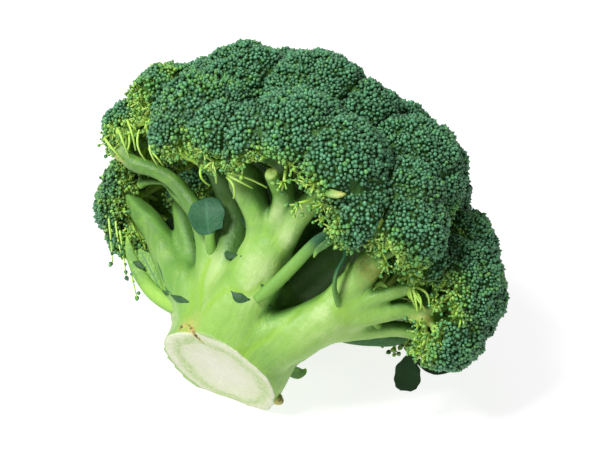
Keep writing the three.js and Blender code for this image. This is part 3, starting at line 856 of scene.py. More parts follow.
        lean = (places - places[heads][own]) * 0.22
        self.bud = places[keep]
        self.bud_out = unit(outs + lean)[keep]
        self.bud_edge = away[keep]
        self.bud_umbel = own[keep]
        self.bud_fresh = np.clip(self.freshness(places, lobes) + 0.15 * loose[own], 0, 1)[keep]
        self.bud_loose = loose[own][keep]
        self.bud_valley = valley[keep]
        self.bud_lobe = lobes[keep]

    def grow_fringe(self):
        """Loose umbels of buds on fine stalks, round the underside of every lobe."""
        knots, outs, lobes = [], [], []
        for i, (centre, radius, axis) in enumerate(zip(self.centre, self.radius, self.axis)):
            across, over = square_frames(axis[None])
            for height, reach in FRINGE_ROWS if self.shown[i] else FRINGE_ROWS[:1]:
                spacing = FRINGE_SPACING if self.shown[i] else 1.6 * FRINGE_SPACING
                count = int(math.tau * reach * radius / spacing)
                angle = math.tau * np.arange(count) / count + self.chance.uniform(0, ANY_TURN)
                angle = angle + self.chance.normal(0, 0.06, count)
                side = np.cos(angle)[:, None] * across + np.sin(angle)[:, None] * over
                up = height + self.chance.normal(0, 0.06, (count, 1))
                far = reach * self.chance.uniform(0.9, 1.03, (count, 1))
                place = centre + radius * (side * far + axis * up)
                out = unit(0.85 * side - 0.5 * axis + self.chance.normal(0, 0.25, (count, 3)))
                keep = self.depths(place).argmin(1) == i
                keep &= height_over_floor(place) > KNOT_OVER_FLOOR
                keep &= clear_of_paths(place, [*STEMS.values(), *STUBS]) > 1.2
                keep &= clear_of_paths(place, OPENINGS) > 1.5
                knots.append((place - KNOT_DEPTH * out)[keep])
                outs.append(out[keep])
                lobes.append(np.full(keep.sum(), i))
        self.knot, self.knot_out = np.vstack(knots), np.vstack(outs)
        self.knot_lobe = np.concatenate(lobes)
        count = len(self.knot)
        across, over = square_frames(self.knot_out, self.chance.uniform(0, ANY_TURN, count))
        turn = GOLDEN_TURN * np.arange(PEDICELS) + self.chance.normal(0, 0.2, (count, PEDICELS))
        spread = np.sqrt((np.arange(PEDICELS) + 0.4) / PEDICELS) * 1.05
        way = (
            np.cos(spread)[None, :, None] * self.knot_out[:, None]
            + (np.sin(spread) * np.cos(turn))[..., None] * across[:, None]
            + (np.sin(spread) * np.sin(turn))[..., None] * over[:, None]
        )
        length = self.chance.uniform(*PEDICEL_LENGTH, (count, PEDICELS, 1))
        self.pedicel_end = self.knot[:, None] + way * length
        self.pedicel_way = way

    def grow_limbs(self):
        """The first branches of every lobe, and the limb that each cluster and knot is on."""
        self.limbs, self.limb_lobe = [], []
        self.cluster_limb = np.zeros(len(self.cluster_centre), int)
        self.knot_limb = np.zeros(len(self.knot), int)
        for lobe, (centre, radius, axis) in enumerate(zip(self.centre, self.radius, self.axis)):
            feeding = list(FLORETS.values())[self.floret[lobe]][-1]
            source, thick = nearest_tip(centre - 0.85 * radius * axis, feeding)
            clusters = np.flatnonzero(self.cluster_lobe == lobe)
            knots = np.flatnonzero(self.knot_lobe == lobe)
            ends = np.vstack([self.cluster_centre[clusters] - 1.5 * axis, self.knot[knots]])
            ways = unit(spiral_directions(13) @ np.vstack([*square_frames(axis), axis]))[:9]
            choice = (unit(ends - source) @ ways.T).argmax(1)
            for k in np.unique(choice):
                group = choice == k
                middle = ends[group].mean(0)
                fork = source + 0.50 * (middle - source) + 0.05 * radius * axis
                bend = 0.5 * (source + fork) + 0.10 * radius * axis
                start = source - 0.10 * radius * axis
                limb = bent(start[None], bend[None], fork[None], 0.62 * thick, 1.25, 5)[0]
                self.cluster_limb[clusters[group[: len(clusters)]]] = len(self.limbs)
                self.knot_limb[knots[group[len(clusters) :]]] = len(self.limbs)
                self.limbs.append(limb)
                self.limb_lobe.append(lobe)


def bent(starts, middles, ends, thick, thin, stations):
    """Curved paths of falling radius from starts by way of middles to ends."""
    t = np.linspace(0, 1, stations)[None, :, None]
    spine = (
        (1 - t) ** 2 * starts[:, None] + 2 * t * (1 - t) * middles[:, None] + t**2 * ends[:, None]
    )
    radius = np.broadcast_to(thick + (thin - thick) * t, (*spine.shape[:2], 1))
    return np.concatenate([spine, radius], -1)


def nearest_tip(point, stems):
    """Of the stems, the end that is nearest to a point, and the radius there."""
    tips = np.array([STEMS[stem][-1] for stem in stems], float)
    nearest = tips[np.linalg.norm(tips[:, :3] - point, axis=1).argmin()]
    return nearest[:3], nearest[3]


def tree_of(points):
    """A tree that finds the nearest of the points."""
    tree = kdtree.KDTree(len(points))
    for i, point in enumerate(points):
        tree.insert(point, i)
    tree.balance()
    return tree


def thinned(points, spacing, order):
    """Which points stay when those that crowd an earlier one in the order are dropped."""
    tree = tree_of(points)
    keep = np.ones(len(points), bool)
    for i in order:
        if keep[i]:
            for _, other, _ in tree.find_range(points[i], spacing[i]):
                if other != i:
                    keep[other] = False
    return keep


def clear_of_paths(points, paths):
    """Distance from points to the nearest of some stems' paths."""
    nearest = np.full(len(points), FAR)
    for rows in paths:
        path = smooth_path(rows, 3)
        for a, b in zip(path[:-1], path[1:]):
            along = b[:3] - a[:3]
            place = np.clip((points - a[:3]) @ along / (along @ along), 0, 1)
            offset = points - a[:3] - place[:, None] * along
            reach = np.linalg.norm(offset, axis=1) - (a[3] + (b[3] - a[3]) * place)
            nearest = np.minimum(nearest, reach)
    return nearest


@functools.lru_cache(maxsize=1)
def crown():
    """The crown, grown once."""
    return Crown()


@functools.lru_cache(maxsize=1)
def stalk_fields(pitch):
    """The field of the joined stalk and stems, and how much it swells where they join."""
    fields = []
    for softness in (STEM_SOFTNESS, 0.01):
        field = Field(*STEMS_BOX, pitch)
        field.join_path(smooth_path(STALK), softness, STALK_WIDTH_TO_DEPTH)
        for rows in (*STEMS.values(), *STUBS):
            field.join_path(smooth_path(rows), softness)
        for limb, lobe in zip(crown().limbs, crown().limb_lobe):
            if crown().shown[lobe]:
                field.join_path(limb, 0.6 * softness)
        fields.append(field)
    field, hard = fields
    crease = hard.values - field.values
    points = field.points()
    field.values += ribs(points).astype(np.float32)
    return field, crease


def ribs(points):
    """Bumps and long ribs of the skin, in millimetres."""
    fan = unit(points - RIB_SOURCE)
    return 0.34 * waves(points, 13.0, 3) + 0.42 * waves(fan, 0.24, 4) + 0.08 * waves(points, 4.5, 8)


def occlusion_shade(field, places):
    """How closely other stems crowd each place on the skin, from 0 in the open to 1, for the painted
    shade of the skin.
    """
    ways = SLOPE_STEP * np.eye(3)
    slopes = [field.sample(places + way) - field.sample(places - way) for way in ways]
    out = unit(np.stack(slopes, -1))
    crowding = [np.clip(1 - field.sample(places + out * far) / far, 0, 1) for far in SHELTER_REACHES]
    return np.mean(crowding, axis=0)


def patches(places, rows, waviness):
    """How near each place is to the middle of the nearest patch, from 0 outside to 1."""
    nearest = np.zeros(len(places))
    edge = waviness * waves(places, 3.0, 9)
    for x, y, z, radius in rows:
        away = np.linalg.norm(places - [x, y, z], axis=1) + edge
        nearest = np.maximum(nearest, np.clip(1.3 - away / radius, 0, 1))
    return nearest


def press(points):
    """Points moved along the line of sight onto the skin of the stems."""
    field, _ = stalk_fields(bpy.context.scene.broccoli_sizes.stalk_pitch / MM)
    steps = np.arange(PRESS_REACH, -PRESS_REACH, -PRESS_STEP)
    line = points[:, None] + steps[None, :, None] * SHOW_WAY
    inside = field.sample(line) < 0
    first = np.where(inside.any(1), inside.argmax(1), np.abs(steps).argmin())
    return points + steps[first][:, None] * SHOW_WAY


# ---- surfaces ---------------------------------------------------------------------------------


class Wire:
    """A shader value that ordinary arithmetic extends with Math nodes."""

    def __init__(self, paint, socket):
        self.paint = paint
        self.socket = socket

    def math(self, operation, *others):
        inputs = dict(enumerate((self, *others)))
        return self.paint.node("ShaderNodeMath", {"operation": operation}, inputs)

    def __add__(self, other):
        return self.math("ADD", other)

    __radd__ = __add__

    def __mul__(self, other):
        return self.math("MULTIPLY", other)

    __rmul__ = __mul__

    def __sub__(self, other):
        return self.math("SUBTRACT", other)

    def __rsub__(self, other):
        return self.paint.node("ShaderNodeMath", {"operation": "SUBTRACT"}, {0: other, 1: self})

    def __truediv__(self, other):
        return self.math("DIVIDE", other)

    def __pow__(self, other):
        return self.math("POWER", other)

    def between(self, low, high):
        """0 below low, 1 above high, smooth between."""
        return self.paint.node(
            "ShaderNodeMapRange",
            {"interpolation_type": "SMOOTHSTEP"},
            {"Value": self, "From Min": low, "From Max": high},
        )


class Paint:
    """A material while it is being put together."""

    def __init__(self, name, roughness, specular):
        self.material = bpy.data.materials.new(name)
        self.material.use_nodes = True
        self.tree = self.material.node_tree
        self.tree.nodes.clear()
        self.shader = self.tree.nodes.new("ShaderNodeBsdfPrincipled")
        output = self.tree.nodes.new("ShaderNodeOutputMaterial")
        self.tree.links.new(self.shader.outputs[0], output.inputs[0])
        self.shader.inputs["Roughness"].default_value = roughness
        self.shader.inputs["Specular IOR Level"].default_value = specular

    def node(self, kind, settings=None, inputs=None, output=0):
        node = self.tree.nodes.new(kind)
        for key, value in (settings or {}).items():
            setattr(node, key, value)
        for key, value in (inputs or {}).items():
            self.plug(node.inputs[key], value)
        return Wire(self, node.outputs[output])

    def plug(self, socket, value):
        if isinstance(value, Wire):
            self.tree.links.new(value.socket, socket)
        else:
            socket.default_value = value

    def attribute(self, name, output="Fac"):
        return self.node("ShaderNodeAttribute", {"attribute_name": name}, output=output)

    def parts(self, vector):
        """The three numbers of a vector."""
        split = self.node("ShaderNodeSeparateXYZ", inputs={0: vector})
        outputs = split.socket.node.outputs
        return [Wire(self, outputs[k]) for k in range(3)]

    def noise(self, vector, scale, detail=2.0, roughness=0.5):
        return self.node(
            "ShaderNodeTexNoise",
            inputs={"Vector": vector, "Scale": scale, "Detail": detail, "Roughness": roughness},
        )

    def mix(self, share, a, b):
        """A colour between a and b."""
        a, b = [value if isinstance(value, Wire) else (*value[:3], 1.0) for value in (a, b)]
        # sockets 6 and 7 take the two colours, and socket 2 gives the mixed one
        return self.node("ShaderNodeMix", {"data_type": "RGBA"}, {0: share, 6: a, 7: b}, 2)

    def bump(self, height, distance, strength=1.0, under=None):
        inputs = {"Height": height, "Distance": distance, "Strength": strength}
        if under is not None:
            inputs["Normal"] = under
        return self.node("ShaderNodeBump", inputs=inputs)

    def finish(self, colour, roughness=None, normal=None):
        self.plug(self.shader.inputs["Base Color"], colour)
        if roughness is not None:
            self.plug(self.shader.inputs["Roughness"], roughness)
        if normal is not None:
            self.plug(self.shader.inputs["Normal"], normal)
        return self.material


def bud_skin(look):
    """Waxy blue-green buds with painted shade at the foot and in the gaps and a painted highlight ring,
    limier where they are fresh.
    """
    paint = Paint("bud_skin", roughness=0.5, specular=0.3)
    tone = paint.attribute("tone")
    fresh = paint.attribute("fresh")
    tip = paint.attribute("tip")
    edge = paint.attribute("edge")
    grain = paint.noise(paint.attribute("plant", "Vector"), 1.1, 2.0, 0.6)
    deep = paint.mix(tone, look.bud_deep, look.bud_blue)
    green = paint.mix(fresh.between(0.1, 0.55), deep, look.bud_green)
    lime = paint.mix(fresh.between(0.5, 1.1) * 0.85, green, look.bud_lime)
    # painted shade: darker at the foot of each bud, at the edge of its umbel and in the valleys between
    # lobes
    shade = (1 - tip.between(0.10, 0.65)) * 0.8 + edge.between(0.75, 1.6) * 0.6
    foot = paint.mix(shade.math("MINIMUM", 0.92), lime, look.core_dark_shade)
    # painted highlight: a light ring near the top of each bud
    ring = tip.between(0.62, 0.82) * (1 - tip.between(0.86, 1.0) * 0.8)
    skin = paint.mix(ring * 0.3, foot, look.bud_highlight)
    skin = paint.mix(grain.between(0.45, 0.70) * 0.6, skin, look.core_dark_shade)
    return paint.finish(skin, normal=paint.bump(grain, 0.0004, 0.7))


def core_skin(look):
    """The dark green flesh that shows between buds, painted darker as the shade in the gaps, limier where
    they are fresh.
    """
    paint = Paint("core_skin", roughness=0.7, specular=0.2)
    under = paint.attribute("under")
    fresh = paint.attribute("fresh")
    grain = paint.noise(paint.attribute("plant", "Vector"), 0.9, 3.0)
    dark = paint.mix(grain, look.core_dark_shade, look.core_mid)
    lime = paint.mix(grain, look.core_mid, look.branch_lime)
    share = fresh.between(0.4, 1.0) * 0.2 + under * 0.25
    return paint.finish(paint.mix(share, dark, lime), normal=paint.bump(grain, 0.0006))


def branch_skin(look):
    """Lime branchlets, yellower at some tips and greener next to the buds."""
    paint = Paint("branch_skin", roughness=0.45, specular=0.4)
    along = paint.attribute("along")
    tone = paint.attribute("tone")
    base = paint.mix(tone, look.branch_lime, look.branch_pale)
    return paint.finish(paint.mix(along.between(0.75, 1.0) * 0.5, base, look.bud_green))


def stalk_skin(look):
    """Waxy stalk skin with long streaks, pale bloom, painted highlights and painted shade, and the moist
    pale cut face.
    """
    paint = Paint("stalk_skin", roughness=0.44, specular=0.38)
    plant = paint.attribute("plant", "Vector")
    fan = paint.attribute("fan", "Vector")
    x, y, z = paint.parts(plant)
    streaks = paint.noise(fan, 17.0, 3.0, 0.6)
    fine = paint.noise(fan, 70.0, 2.0)
    mottle = paint.noise(plant, 0.16, 3.0, 0.6)
    speckle = paint.noise(plant, 0.8, 3.0, 0.7)
    skin = clean_skin(paint, look, x, z, streaks, fine, mottle)
    skin = shaded_skin(paint, look, z, skin)
    dry = paint.attribute("tan")
    skin = paint.mix(dry.between(0.0, 0.8) * 0.4, skin, look.crease_lime)
    skin = paint.mix(dry * speckle.between(0.35, 0.6) * 0.8, skin, look.tan)
    depth = z * math.cos(CUT_SLANT) + y * math.sin(CUT_SLANT) + CUT_DEPTH
    across = (x * x / CUT_WIDTH**2 + y * y / CUT_HEIGHT**2) ** 0.5
    inside = (1 - depth.between(1.3, 1.7)) * (1 - across.between(0.80, 0.86))
    face = (1 - depth.between(0.3, 0.7)).math("MAXIMUM", inside)
    flesh = cut_flesh(paint, look, across, speckle)
    grain = paint.bump(speckle + face * paint.noise(plant, 1.6, 2.0), 0.0005, 0.6)
    normal = paint.bump(streaks * 0.7 + fine * 0.15 + mottle * 0.4, 0.0008, 0.6, grain)
    rough = 0.34 + streaks * 0.2 + face * 0.1
    return paint.finish(paint.mix(face, skin, flesh), rough, normal)


def clean_skin(paint, look, x, z, streaks, fine, mottle):
    """The skin's colours: greener high up and to the left, with painted shade on the left stems, a pale
    bloom low down that is partly painted light, and painted highlight patches.
    """
    blotch = paint.noise(paint.attribute("plant", "Vector"), 0.07, 3.0)
    skin = paint.mix(z.between(26.0, 58.0), look.stalk_pale, look.stem_green)
    # greener and darker to the left: partly the stems' own greener colour, partly painted shade under the
    # left florets; the stem_shaded mix is painted shade
    left = (x * -1).between(6.0, 26.0)
    skin = paint.mix(left * 0.9, skin, look.stem_green)
    skin = paint.mix(left * z.between(18.0, 42.0) * 0.6, skin, look.stem_shaded)
    skin = paint.mix(streaks.between(0.50, 0.80) * 0.30, skin, look.stalk_light)
    skin = paint.mix(fine.between(0.50, 0.75) * 0.10, skin, look.stem_green)
    skin = paint.mix(blotch.between(0.50, 0.75) * 0.5, skin, look.stem_green)
    skin = paint.mix(mottle.between(0.50, 0.72) * 0.35, skin, look.crease_lime)
    # pale wax bloom low down, kept off crowded skin and the left stems: partly real bloom, partly painted
    # light
    lit = 1 - paint.attribute("occlusion_shade").between(0.05, 0.3)
    bloom = (0.54 - blotch).between(0.0, 0.20) * z.between(6.0, 18.0) * lit * (1 - left * 0.75)
    skin = paint.mix(bloom * 0.35, skin, look.stalk_light)
    # painted highlights on the stems
    pale = paint.attribute("pale").between(0.0, 1.2) * (streaks * 0.5 + 0.3)
    return paint.mix(pale, skin, look.stalk_light)


def shaded_skin(paint, look, z, skin):
    """Limier skin where stems join and along the seams, and painted shade: darker skin where stems crowd
    it and on the stems inside the head.
    """
    shade = paint.attribute("occlusion_shade")
    inner_shade = paint.attribute("inner_shade")
    skin = paint.mix(paint.attribute("crease").between(0.08, 0.55) * 0.5, skin, look.crease_lime)
    skin = paint.mix(paint.attribute("seam").between(0.1, 0.9) * 0.75, skin, look.crease_lime)
    # painted shade: greener, then darker, where other stems crowd the skin
    skin = paint.mix(shade.between(0.08, 0.34) * 0.9, skin, look.stem_green)
    skin = paint.mix(shade.between(0.24, 0.70) * 0.85, skin, look.stem_shaded)
    # painted shade on the stems inside the head
    return paint.mix(inner_shade.between(-1.0, 1.5) * z.between(26.0, 38.0) * 0.8, skin, look.stem_shaded)


def cut_flesh(paint, look, across, speckle):
    """The cut face: cream pith, a ragged green ring near the rim, and the skin's edge."""
    plant = paint.attribute("plant", "Vector")
    wobble = paint.noise(plant, 0.12, 3.0) * 0.30 + paint.noise(plant, 0.4, 2.0) * 0.12 - 0.21
    ragged = across + wobble
    ring = ragged.between(0.62, 0.74) * (1 - ragged.between(0.76, 0.88))
    rim = ragged.between(0.84, 0.92) * speckle.between(0.3, 0.6)
    pith = paint.mix(paint.noise(plant, 0.35, 4.0, 0.6), look.cut_cream, look.cut_green)
    pith = paint.mix((1 - ragged.between(0.0, 0.7)) * 0.6, pith, look.cut_cream)
    flesh = paint.mix(ragged.between(0.45, 0.80) * 0.5, pith, look.cut_green)
    flesh = paint.mix(ring * (0.12 + speckle.between(0.40, 0.62) * 0.45), flesh, look.crease_lime)
    flesh = paint.mix(rim * 0.5, flesh, look.cut_cream)
    return paint.mix(across.between(0.95, 1.02) * 0.8, flesh, look.stalk_pale)


def leaf_skin(look, specular=0.35):
    """Waxy leaf skin with a pale midrib and veins; lime stalks, brown where it is dry, and painted shade
    where blue is over 1.
    """
    paint = Paint("leaf_skin", roughness=0.5, specular=specular)
    plant = paint.attribute("plant", "Vector")
    place, spread = paint.attribute("place"), paint.attribute("spread")
    blade = paint.attribute("blade")
    side = spread.math("ABSOLUTE")
    bloom = paint.noise(plant, 0.5, 3.0, 0.6)
    green = paint.mix(bloom, look.leaf_green, look.branch_lime)
    dark = paint.mix(bloom, look.leaf_blue, look.leaf_green)
    blue = paint.attribute("blue")
    flesh = paint.mix(blue, green, dark)
    comb = (place * 9.0 - side * 1.6).math("FRACT")
    veins = (1 - (comb - 0.5).math("ABSOLUTE").between(0.0, 0.13)) * side.between(0.05, 0.3)
    rib = 1 - side.between(0.03, 0.10)
    mottle = paint.noise(plant, 1.4, 3.0, 0.7).between(0.35, 0.7)
    flesh = paint.mix(mottle * blade * 0.35, flesh, look.leaf_vein)
    flesh = paint.mix((veins * 0.12).math("MAXIMUM", rib * 0.8) * blade, flesh, look.leaf_vein)
    # blue over 1 darkens the blade toward the shaded colour: painted shade on the leaves in the head's
    # shade; the leaf scars darken the same way
    flesh = paint.mix((blue - 1).math("MAXIMUM", 0.0), flesh, look.leaf_shaded)
    lime = paint.mix(bloom, look.branch_lime, look.stalk_pale)
    stalk = paint.mix(side.between(0.2, 1.1) * 0.6, lime, look.stem_green)
    stalk = paint.mix(blue * 0.8, stalk, look.stem_green)
    skin = paint.mix(blade.between(0.02, 0.3), stalk, flesh)
    dry = paint.mix(bloom.between(0.40, 0.60), look.scar, look.tan)
    skin = paint.mix(paint.attribute("brown") * 0.85, skin, dry)
    relief = veins * blade * 0.4 + bloom * 0.5 + mottle * 0.4
    return paint.finish(skin, normal=paint.bump(relief, 0.0003, 0.6))


# ---- settings ---------------------------------------------------------------------------------


def colour(name, description, rgb):
    return bpy.props.FloatVectorProperty(
        name=name, description=description, default=rgb, size=3, subtype="COLOR", min=0, max=1
    )


class BroccoliLook(bpy.types.PropertyGroup):
    """Colours and finishes of the head."""

    bud_deep: colour("Bud, deep", "Darkest buds", (0.032, 0.135, 0.056))
    bud_blue: colour("Bud, blue", "Buds with a blue bloom", (0.090, 0.305, 0.150))
    bud_green: colour("Bud, green", "Fresher buds", (0.112, 0.340, 0.060))
    bud_lime: colour("Bud, lime", "Buds at the rim of a floret", (0.370, 0.620, 0.075))
    # painted highlight ring near the top of each bud
    bud_highlight: colour("Bud tip", "Light top of a bud", (0.270, 0.530, 0.300))
    # dark green flesh, painted darker still as the shade between the buds
    core_dark_shade: colour("Core, dark", "Flesh between the buds", (0.010, 0.042, 0.014))
    core_mid: colour("Core, middle", "Flesh lower down", (0.066, 0.175, 0.024))
    branch_lime: colour("Branchlet, lime", "Small branches", (0.350, 0.610, 0.072))
    branch_pale: colour("Branchlet, pale", "Lighter small branches", (0.500, 0.690, 0.170))
    stalk_pale: colour("Stalk, pale", "Skin low on the stalk", (0.235, 0.430, 0.078))
    # also the colour of the painted highlights and of the partly painted bloom
    stalk_light: colour("Stalk, light", "Light streaks", (0.470, 0.600, 0.260))
    stem_green: colour("Stem, green", "Skin high on the stems", (0.130, 0.300, 0.048))
    stem_shaded: colour("Stem, shaded", "Stems inside the head", (0.050, 0.135, 0.022))
    crease_lime: colour("Crease, lime", "Where stems join", (0.230, 0.430, 0.035))
    cut_cream: colour("Cut, cream", "Pith on the cut face", (0.720, 0.700, 0.600))
    cut_green: colour("Cut, green", "Greener pith", (0.520, 0.600, 0.330))
    leaf_blue: colour("Leaf, blue", "Blue-green blade", (0.011, 0.062, 0.036))
    leaf_green: colour("Leaf, green", "Greener blade", (0.030, 0.145, 0.042))
    leaf_shaded: colour("Leaf, shaded", "Leaves in the head's shade", (0.010, 0.026, 0.009))
    leaf_vein: colour("Leaf, vein", "Midrib and veins", (0.045, 0.165, 0.085))
    tan: colour("Tan", "Dry patches", (0.480, 0.400, 0.120))
    scar: colour("Scar", "Brown scars", (0.100, 0.070, 0.028))
    floor: colour("Floor", "Pale table", (0.38, 0.38, 0.38))


class BroccoliSizes(bpy.types.PropertyGroup):
    """Finenesses of the meshes."""

    stalk_pitch: bpy.props.FloatProperty(
        name="Stalk fineness", description="Grid pitch of the stalk", default=0.00095, unit="LENGTH"
    )
    core_pitch: bpy.props.FloatProperty(
        name="Core fineness", description="Grid pitch of the cores", default=0.0021, unit="LENGTH"
    )
    camera_distance: bpy.props.FloatProperty(
        name="Camera distance", description="From the head's middle", default=0.62, unit="LENGTH"
    )


# ---- operators --------------------------------------------------------------------------------


class BROCCOLI_OT_stalk(bpy.types.Operator):
    """Grow the stalk and all its stems as one smooth skin"""

    bl_idname = "broccoli.stalk"
    bl_label = "Stalk and stems"

    def execute(self, context):
        sizes, look = context.scene.broccoli_sizes, context.scene.broccoli_look
        field, creases = stalk_fields(sizes.stalk_pitch / MM)
        points = field.points()
        seams = [np.pad(press(np.array(line)), ((0, 0), (0, 1))) for line in SEAMS]
        skin = np.abs(field.values) < SEAM_REACH
        groove = np.exp(-((clear_of_paths(points[skin], seams) / SEAM_WIDTH) ** 2))
        field.values[skin] += SEAM_DEPTH * groove
        over_cut = points[..., 2] * math.cos(CUT_SLANT) + points[..., 1] * math.sin(CUT_SLANT)
        knife = -over_cut - CUT_DEPTH
        off_middle = np.hypot(points[..., 0], points[..., 1]) / CUT_DISH_RADIUS
        knife += CUT_DISH * np.clip(1 - off_middle**2, 0, 1) + 0.15 * waves(points, 7.0, 13)
        values = np.maximum(field.values, knife.astype(np.float32))
        field.values = np.maximum(values, -height_over_floor(points).astype(np.float32))
        places, faces = field.surface()
        # stems that get no painted shade, and stems inside the head that do
        lit = [rows for stem, rows in STEMS.items() if stem not in INNER_STEMS]
        unlit = [STEMS[stem] for stem in INNER_STEMS]
        values = {
            "plant": places,
            "fan": unit(places - RIB_SOURCE),
            "crease": field.sample(places, creases),
            "tan": patches(places, TAN_PATCHES, 1.2),
            # the painted highlight patches
            "pale": patches(places, PAINTED_HIGHLIGHTS, 0.8),
            "seam": np.clip(1 - clear_of_paths(places, seams) / 2.2, 0, 1),
            "inner_shade": clear_of_paths(places, lit) - clear_of_paths(places, unlit),
            # how much painted shade each place gets from the crowding of other stems
            "occlusion_shade": occlusion_shade(field, places),
        }
        piece = make_mesh("stalk_and_stems", places, faces, values)
        settle(piece, stalk_skin(look), "stalk", "stalk", *STEMS)
        return {"FINISHED"}


BUD_RINGS = ((-0.30, 0.92), (0.42, 0.80))  # height and radius of each ring, over the half width
BUD_FOOT, BUD_TOP = -0.8, 1.16
BUD_SIDES = 6
BUD_HALF = 0.62  # half width of a mean bud, over the spacing of buds
LOOSE_EDGE = 0.3  # how much painted shade the foot of a bud on its own stalk gets


def bud_shape():
    """One bud of half width 1: points, faces, how far up each point is, and a flat plan."""
    angle = math.tau * (np.arange(BUD_SIDES) + 0.5) / BUD_SIDES
    points = [[0, 0, BUD_FOOT]]
    for k, (height, radius) in enumerate(BUD_RINGS):
        twist = angle + k * math.pi / BUD_SIDES
        points += [[radius * math.cos(t), radius * math.sin(t), height] for t in twist]
    points.append([0, 0, BUD_TOP])
    faces, plan = [], []
    rings = len(BUD_RINGS)

    def spot(ring, side):
        reach = 1 - (ring + 1) / (rings + 1) * 0.9
        turn = angle[0] + (side + ring / 2) * math.tau / BUD_SIDES
        return [reach * math.cos(turn), reach * math.sin(turn)]

    def vertex(ring, side):
        return 1 + ring * BUD_SIDES + side % BUD_SIDES

    top = len(points) - 1
    for side in range(BUD_SIDES):
        faces.append([0, vertex(0, side + 1), vertex(0, side)])
        plan += [spot(-1, side + 1), spot(0, side + 1), spot(0, side)]
        for ring in range(rings - 1):
            a, b = vertex(ring, side), vertex(ring, side + 1)
            c, d = vertex(ring + 1, side), vertex(ring + 1, side + 1)
            faces += [[a, b, c], [b, d, c]]
            plan += [spot(ring, side), spot(ring, side + 1), spot(ring + 1, side)]
            plan += [spot(ring, side + 1), spot(ring + 1, side + 1), spot(ring + 1, side)]
        faces.append([vertex(rings - 1, side), vertex(rings - 1, side + 1), top])
        plan += [spot(rings - 1, side), spot(rings - 1, side + 1), [0, 0]]
    points = np.array(points, float)
    tip = (points[:, 2] - BUD_FOOT) / (BUD_TOP - BUD_FOOT)
    return points, np.array(faces), tip, np.array(plan, float)


def scatter_buds(places, outs, half_widths, chance):
    """Copies of the bud at the places, as points, faces, tip values and map plans."""
    shape, faces, tip, plan = bud_shape()
    count = len(places)
    tilted = unit(outs + chance.normal(0, 0.34, outs.shape))
    across, over = square_frames(tilted, chance.uniform(0, math.tau, count))
    lengths = half_widths * chance.uniform(0.9, 1.45, count)
    points = (
        places[:, None]
        + shape[None, :, :1] * across[:, None] * half_widths[:, None, None]
        + shape[None, :, 1:2] * over[:, None] * half_widths[:, None, None]
        + shape[None, :, 2:] * tilted[:, None] * lengths[:, None, None]
    )
    side = math.ceil(math.sqrt(count))
    cell = np.stack([np.arange(count) % side, np.arange(count) // side], -1) + 0.5
    plans = (cell[:, None] + 0.47 * plan[None]) / side
    all_faces = faces[None] + len(shape) * np.arange(count)[:, None, None]
    return points.reshape(-1, 3), all_faces.reshape(-1, 3), np.tile(tip, count), plans.reshape(-1, 2)


def bud_values(points, tip, tone, fresh, edge):
    """The named values of every point of some buds, from one of each for a bud."""
    values = {"plant": points, "tip": tip}
    for key, numbers in (("tone", tone), ("fresh", fresh), ("edge", edge)):
        values[key] = np.repeat(numbers, len(points) // len(numbers))
    return values


class BROCCOLI_OT_buds(bpy.types.Operator):
    """Set the flower buds of every floret, packed on its domes and loose at its fringe"""

    bl_idname = "broccoli.buds"
    bl_label = "Buds"

    def execute(self, context):
        material = bud_skin(context.scene.broccoli_look)
        head = crown()
        umbel_tone = np.random.default_rng(7).uniform(-0.3, 0.3, head.bud_umbel.max() + 1)
        for f, name in enumerate(FLORETS):
            chance = np.random.default_rng(100 + f)
            own = np.flatnonzero(head.floret[head.bud_lobe] == f)
            half = BUD_HALF * head.width[head.bud_lobe[own]] * chance.uniform(0.74, 1.2, len(own))
            half *= 1 - 0.12 * head.bud_loose[own]
            tone = 0.45 + umbel_tone[head.bud_umbel[own]] + chance.normal(0, 0.3, len(own))
            fresh = head.bud_fresh[own] + chance.normal(0, 0.16, len(own))
            # how far each bud sits into the gaps between umbels and lobes, for its painted shade
            edge = head.bud_edge[own] + 0.8 * head.bud_valley[own]
            hung = np.flatnonzero(head.floret[head.knot_lobe] == f)
            ends = head.pedicel_end[hung].reshape(-1, 3)
            ways = head.pedicel_way[hung].reshape(-1, 3)
            loose = len(ends)
            places = np.vstack([head.bud[own], ends])
            outs = np.vstack([head.bud_out[own], ways])
            half = np.append(half, chance.uniform(0.42, 0.85, loose))
            tone = np.append(tone, chance.uniform(0, 1, loose))
            fresh = np.append(fresh, chance.uniform(0.30, 1.0, loose))
            edge = np.append(edge, np.full(loose, LOOSE_EDGE))
            points, faces, tip, plans = scatter_buds(places, outs, half, chance)
            values = bud_values(points, tip, np.clip(tone, 0, 1), np.clip(fresh, 0, 1), edge)
            settle(make_mesh(name + "_buds", points, faces, values, plans), material, "buds", name)
        return {"FINISHED"}


CORE_INSET = 0.6
LOOSE_CORE_INSET = 2.6  # the further inset under the loosest buds
PLANE_SLOPE = 50.0  # of the power diagram over distance, near the planes between florets
CORE_OVER_RIM = 0.14  # how much higher than its buds a core ends, over its radius
HOLLOW_CENTRE = -0.69
HOLLOW_RADIUS = 0.93


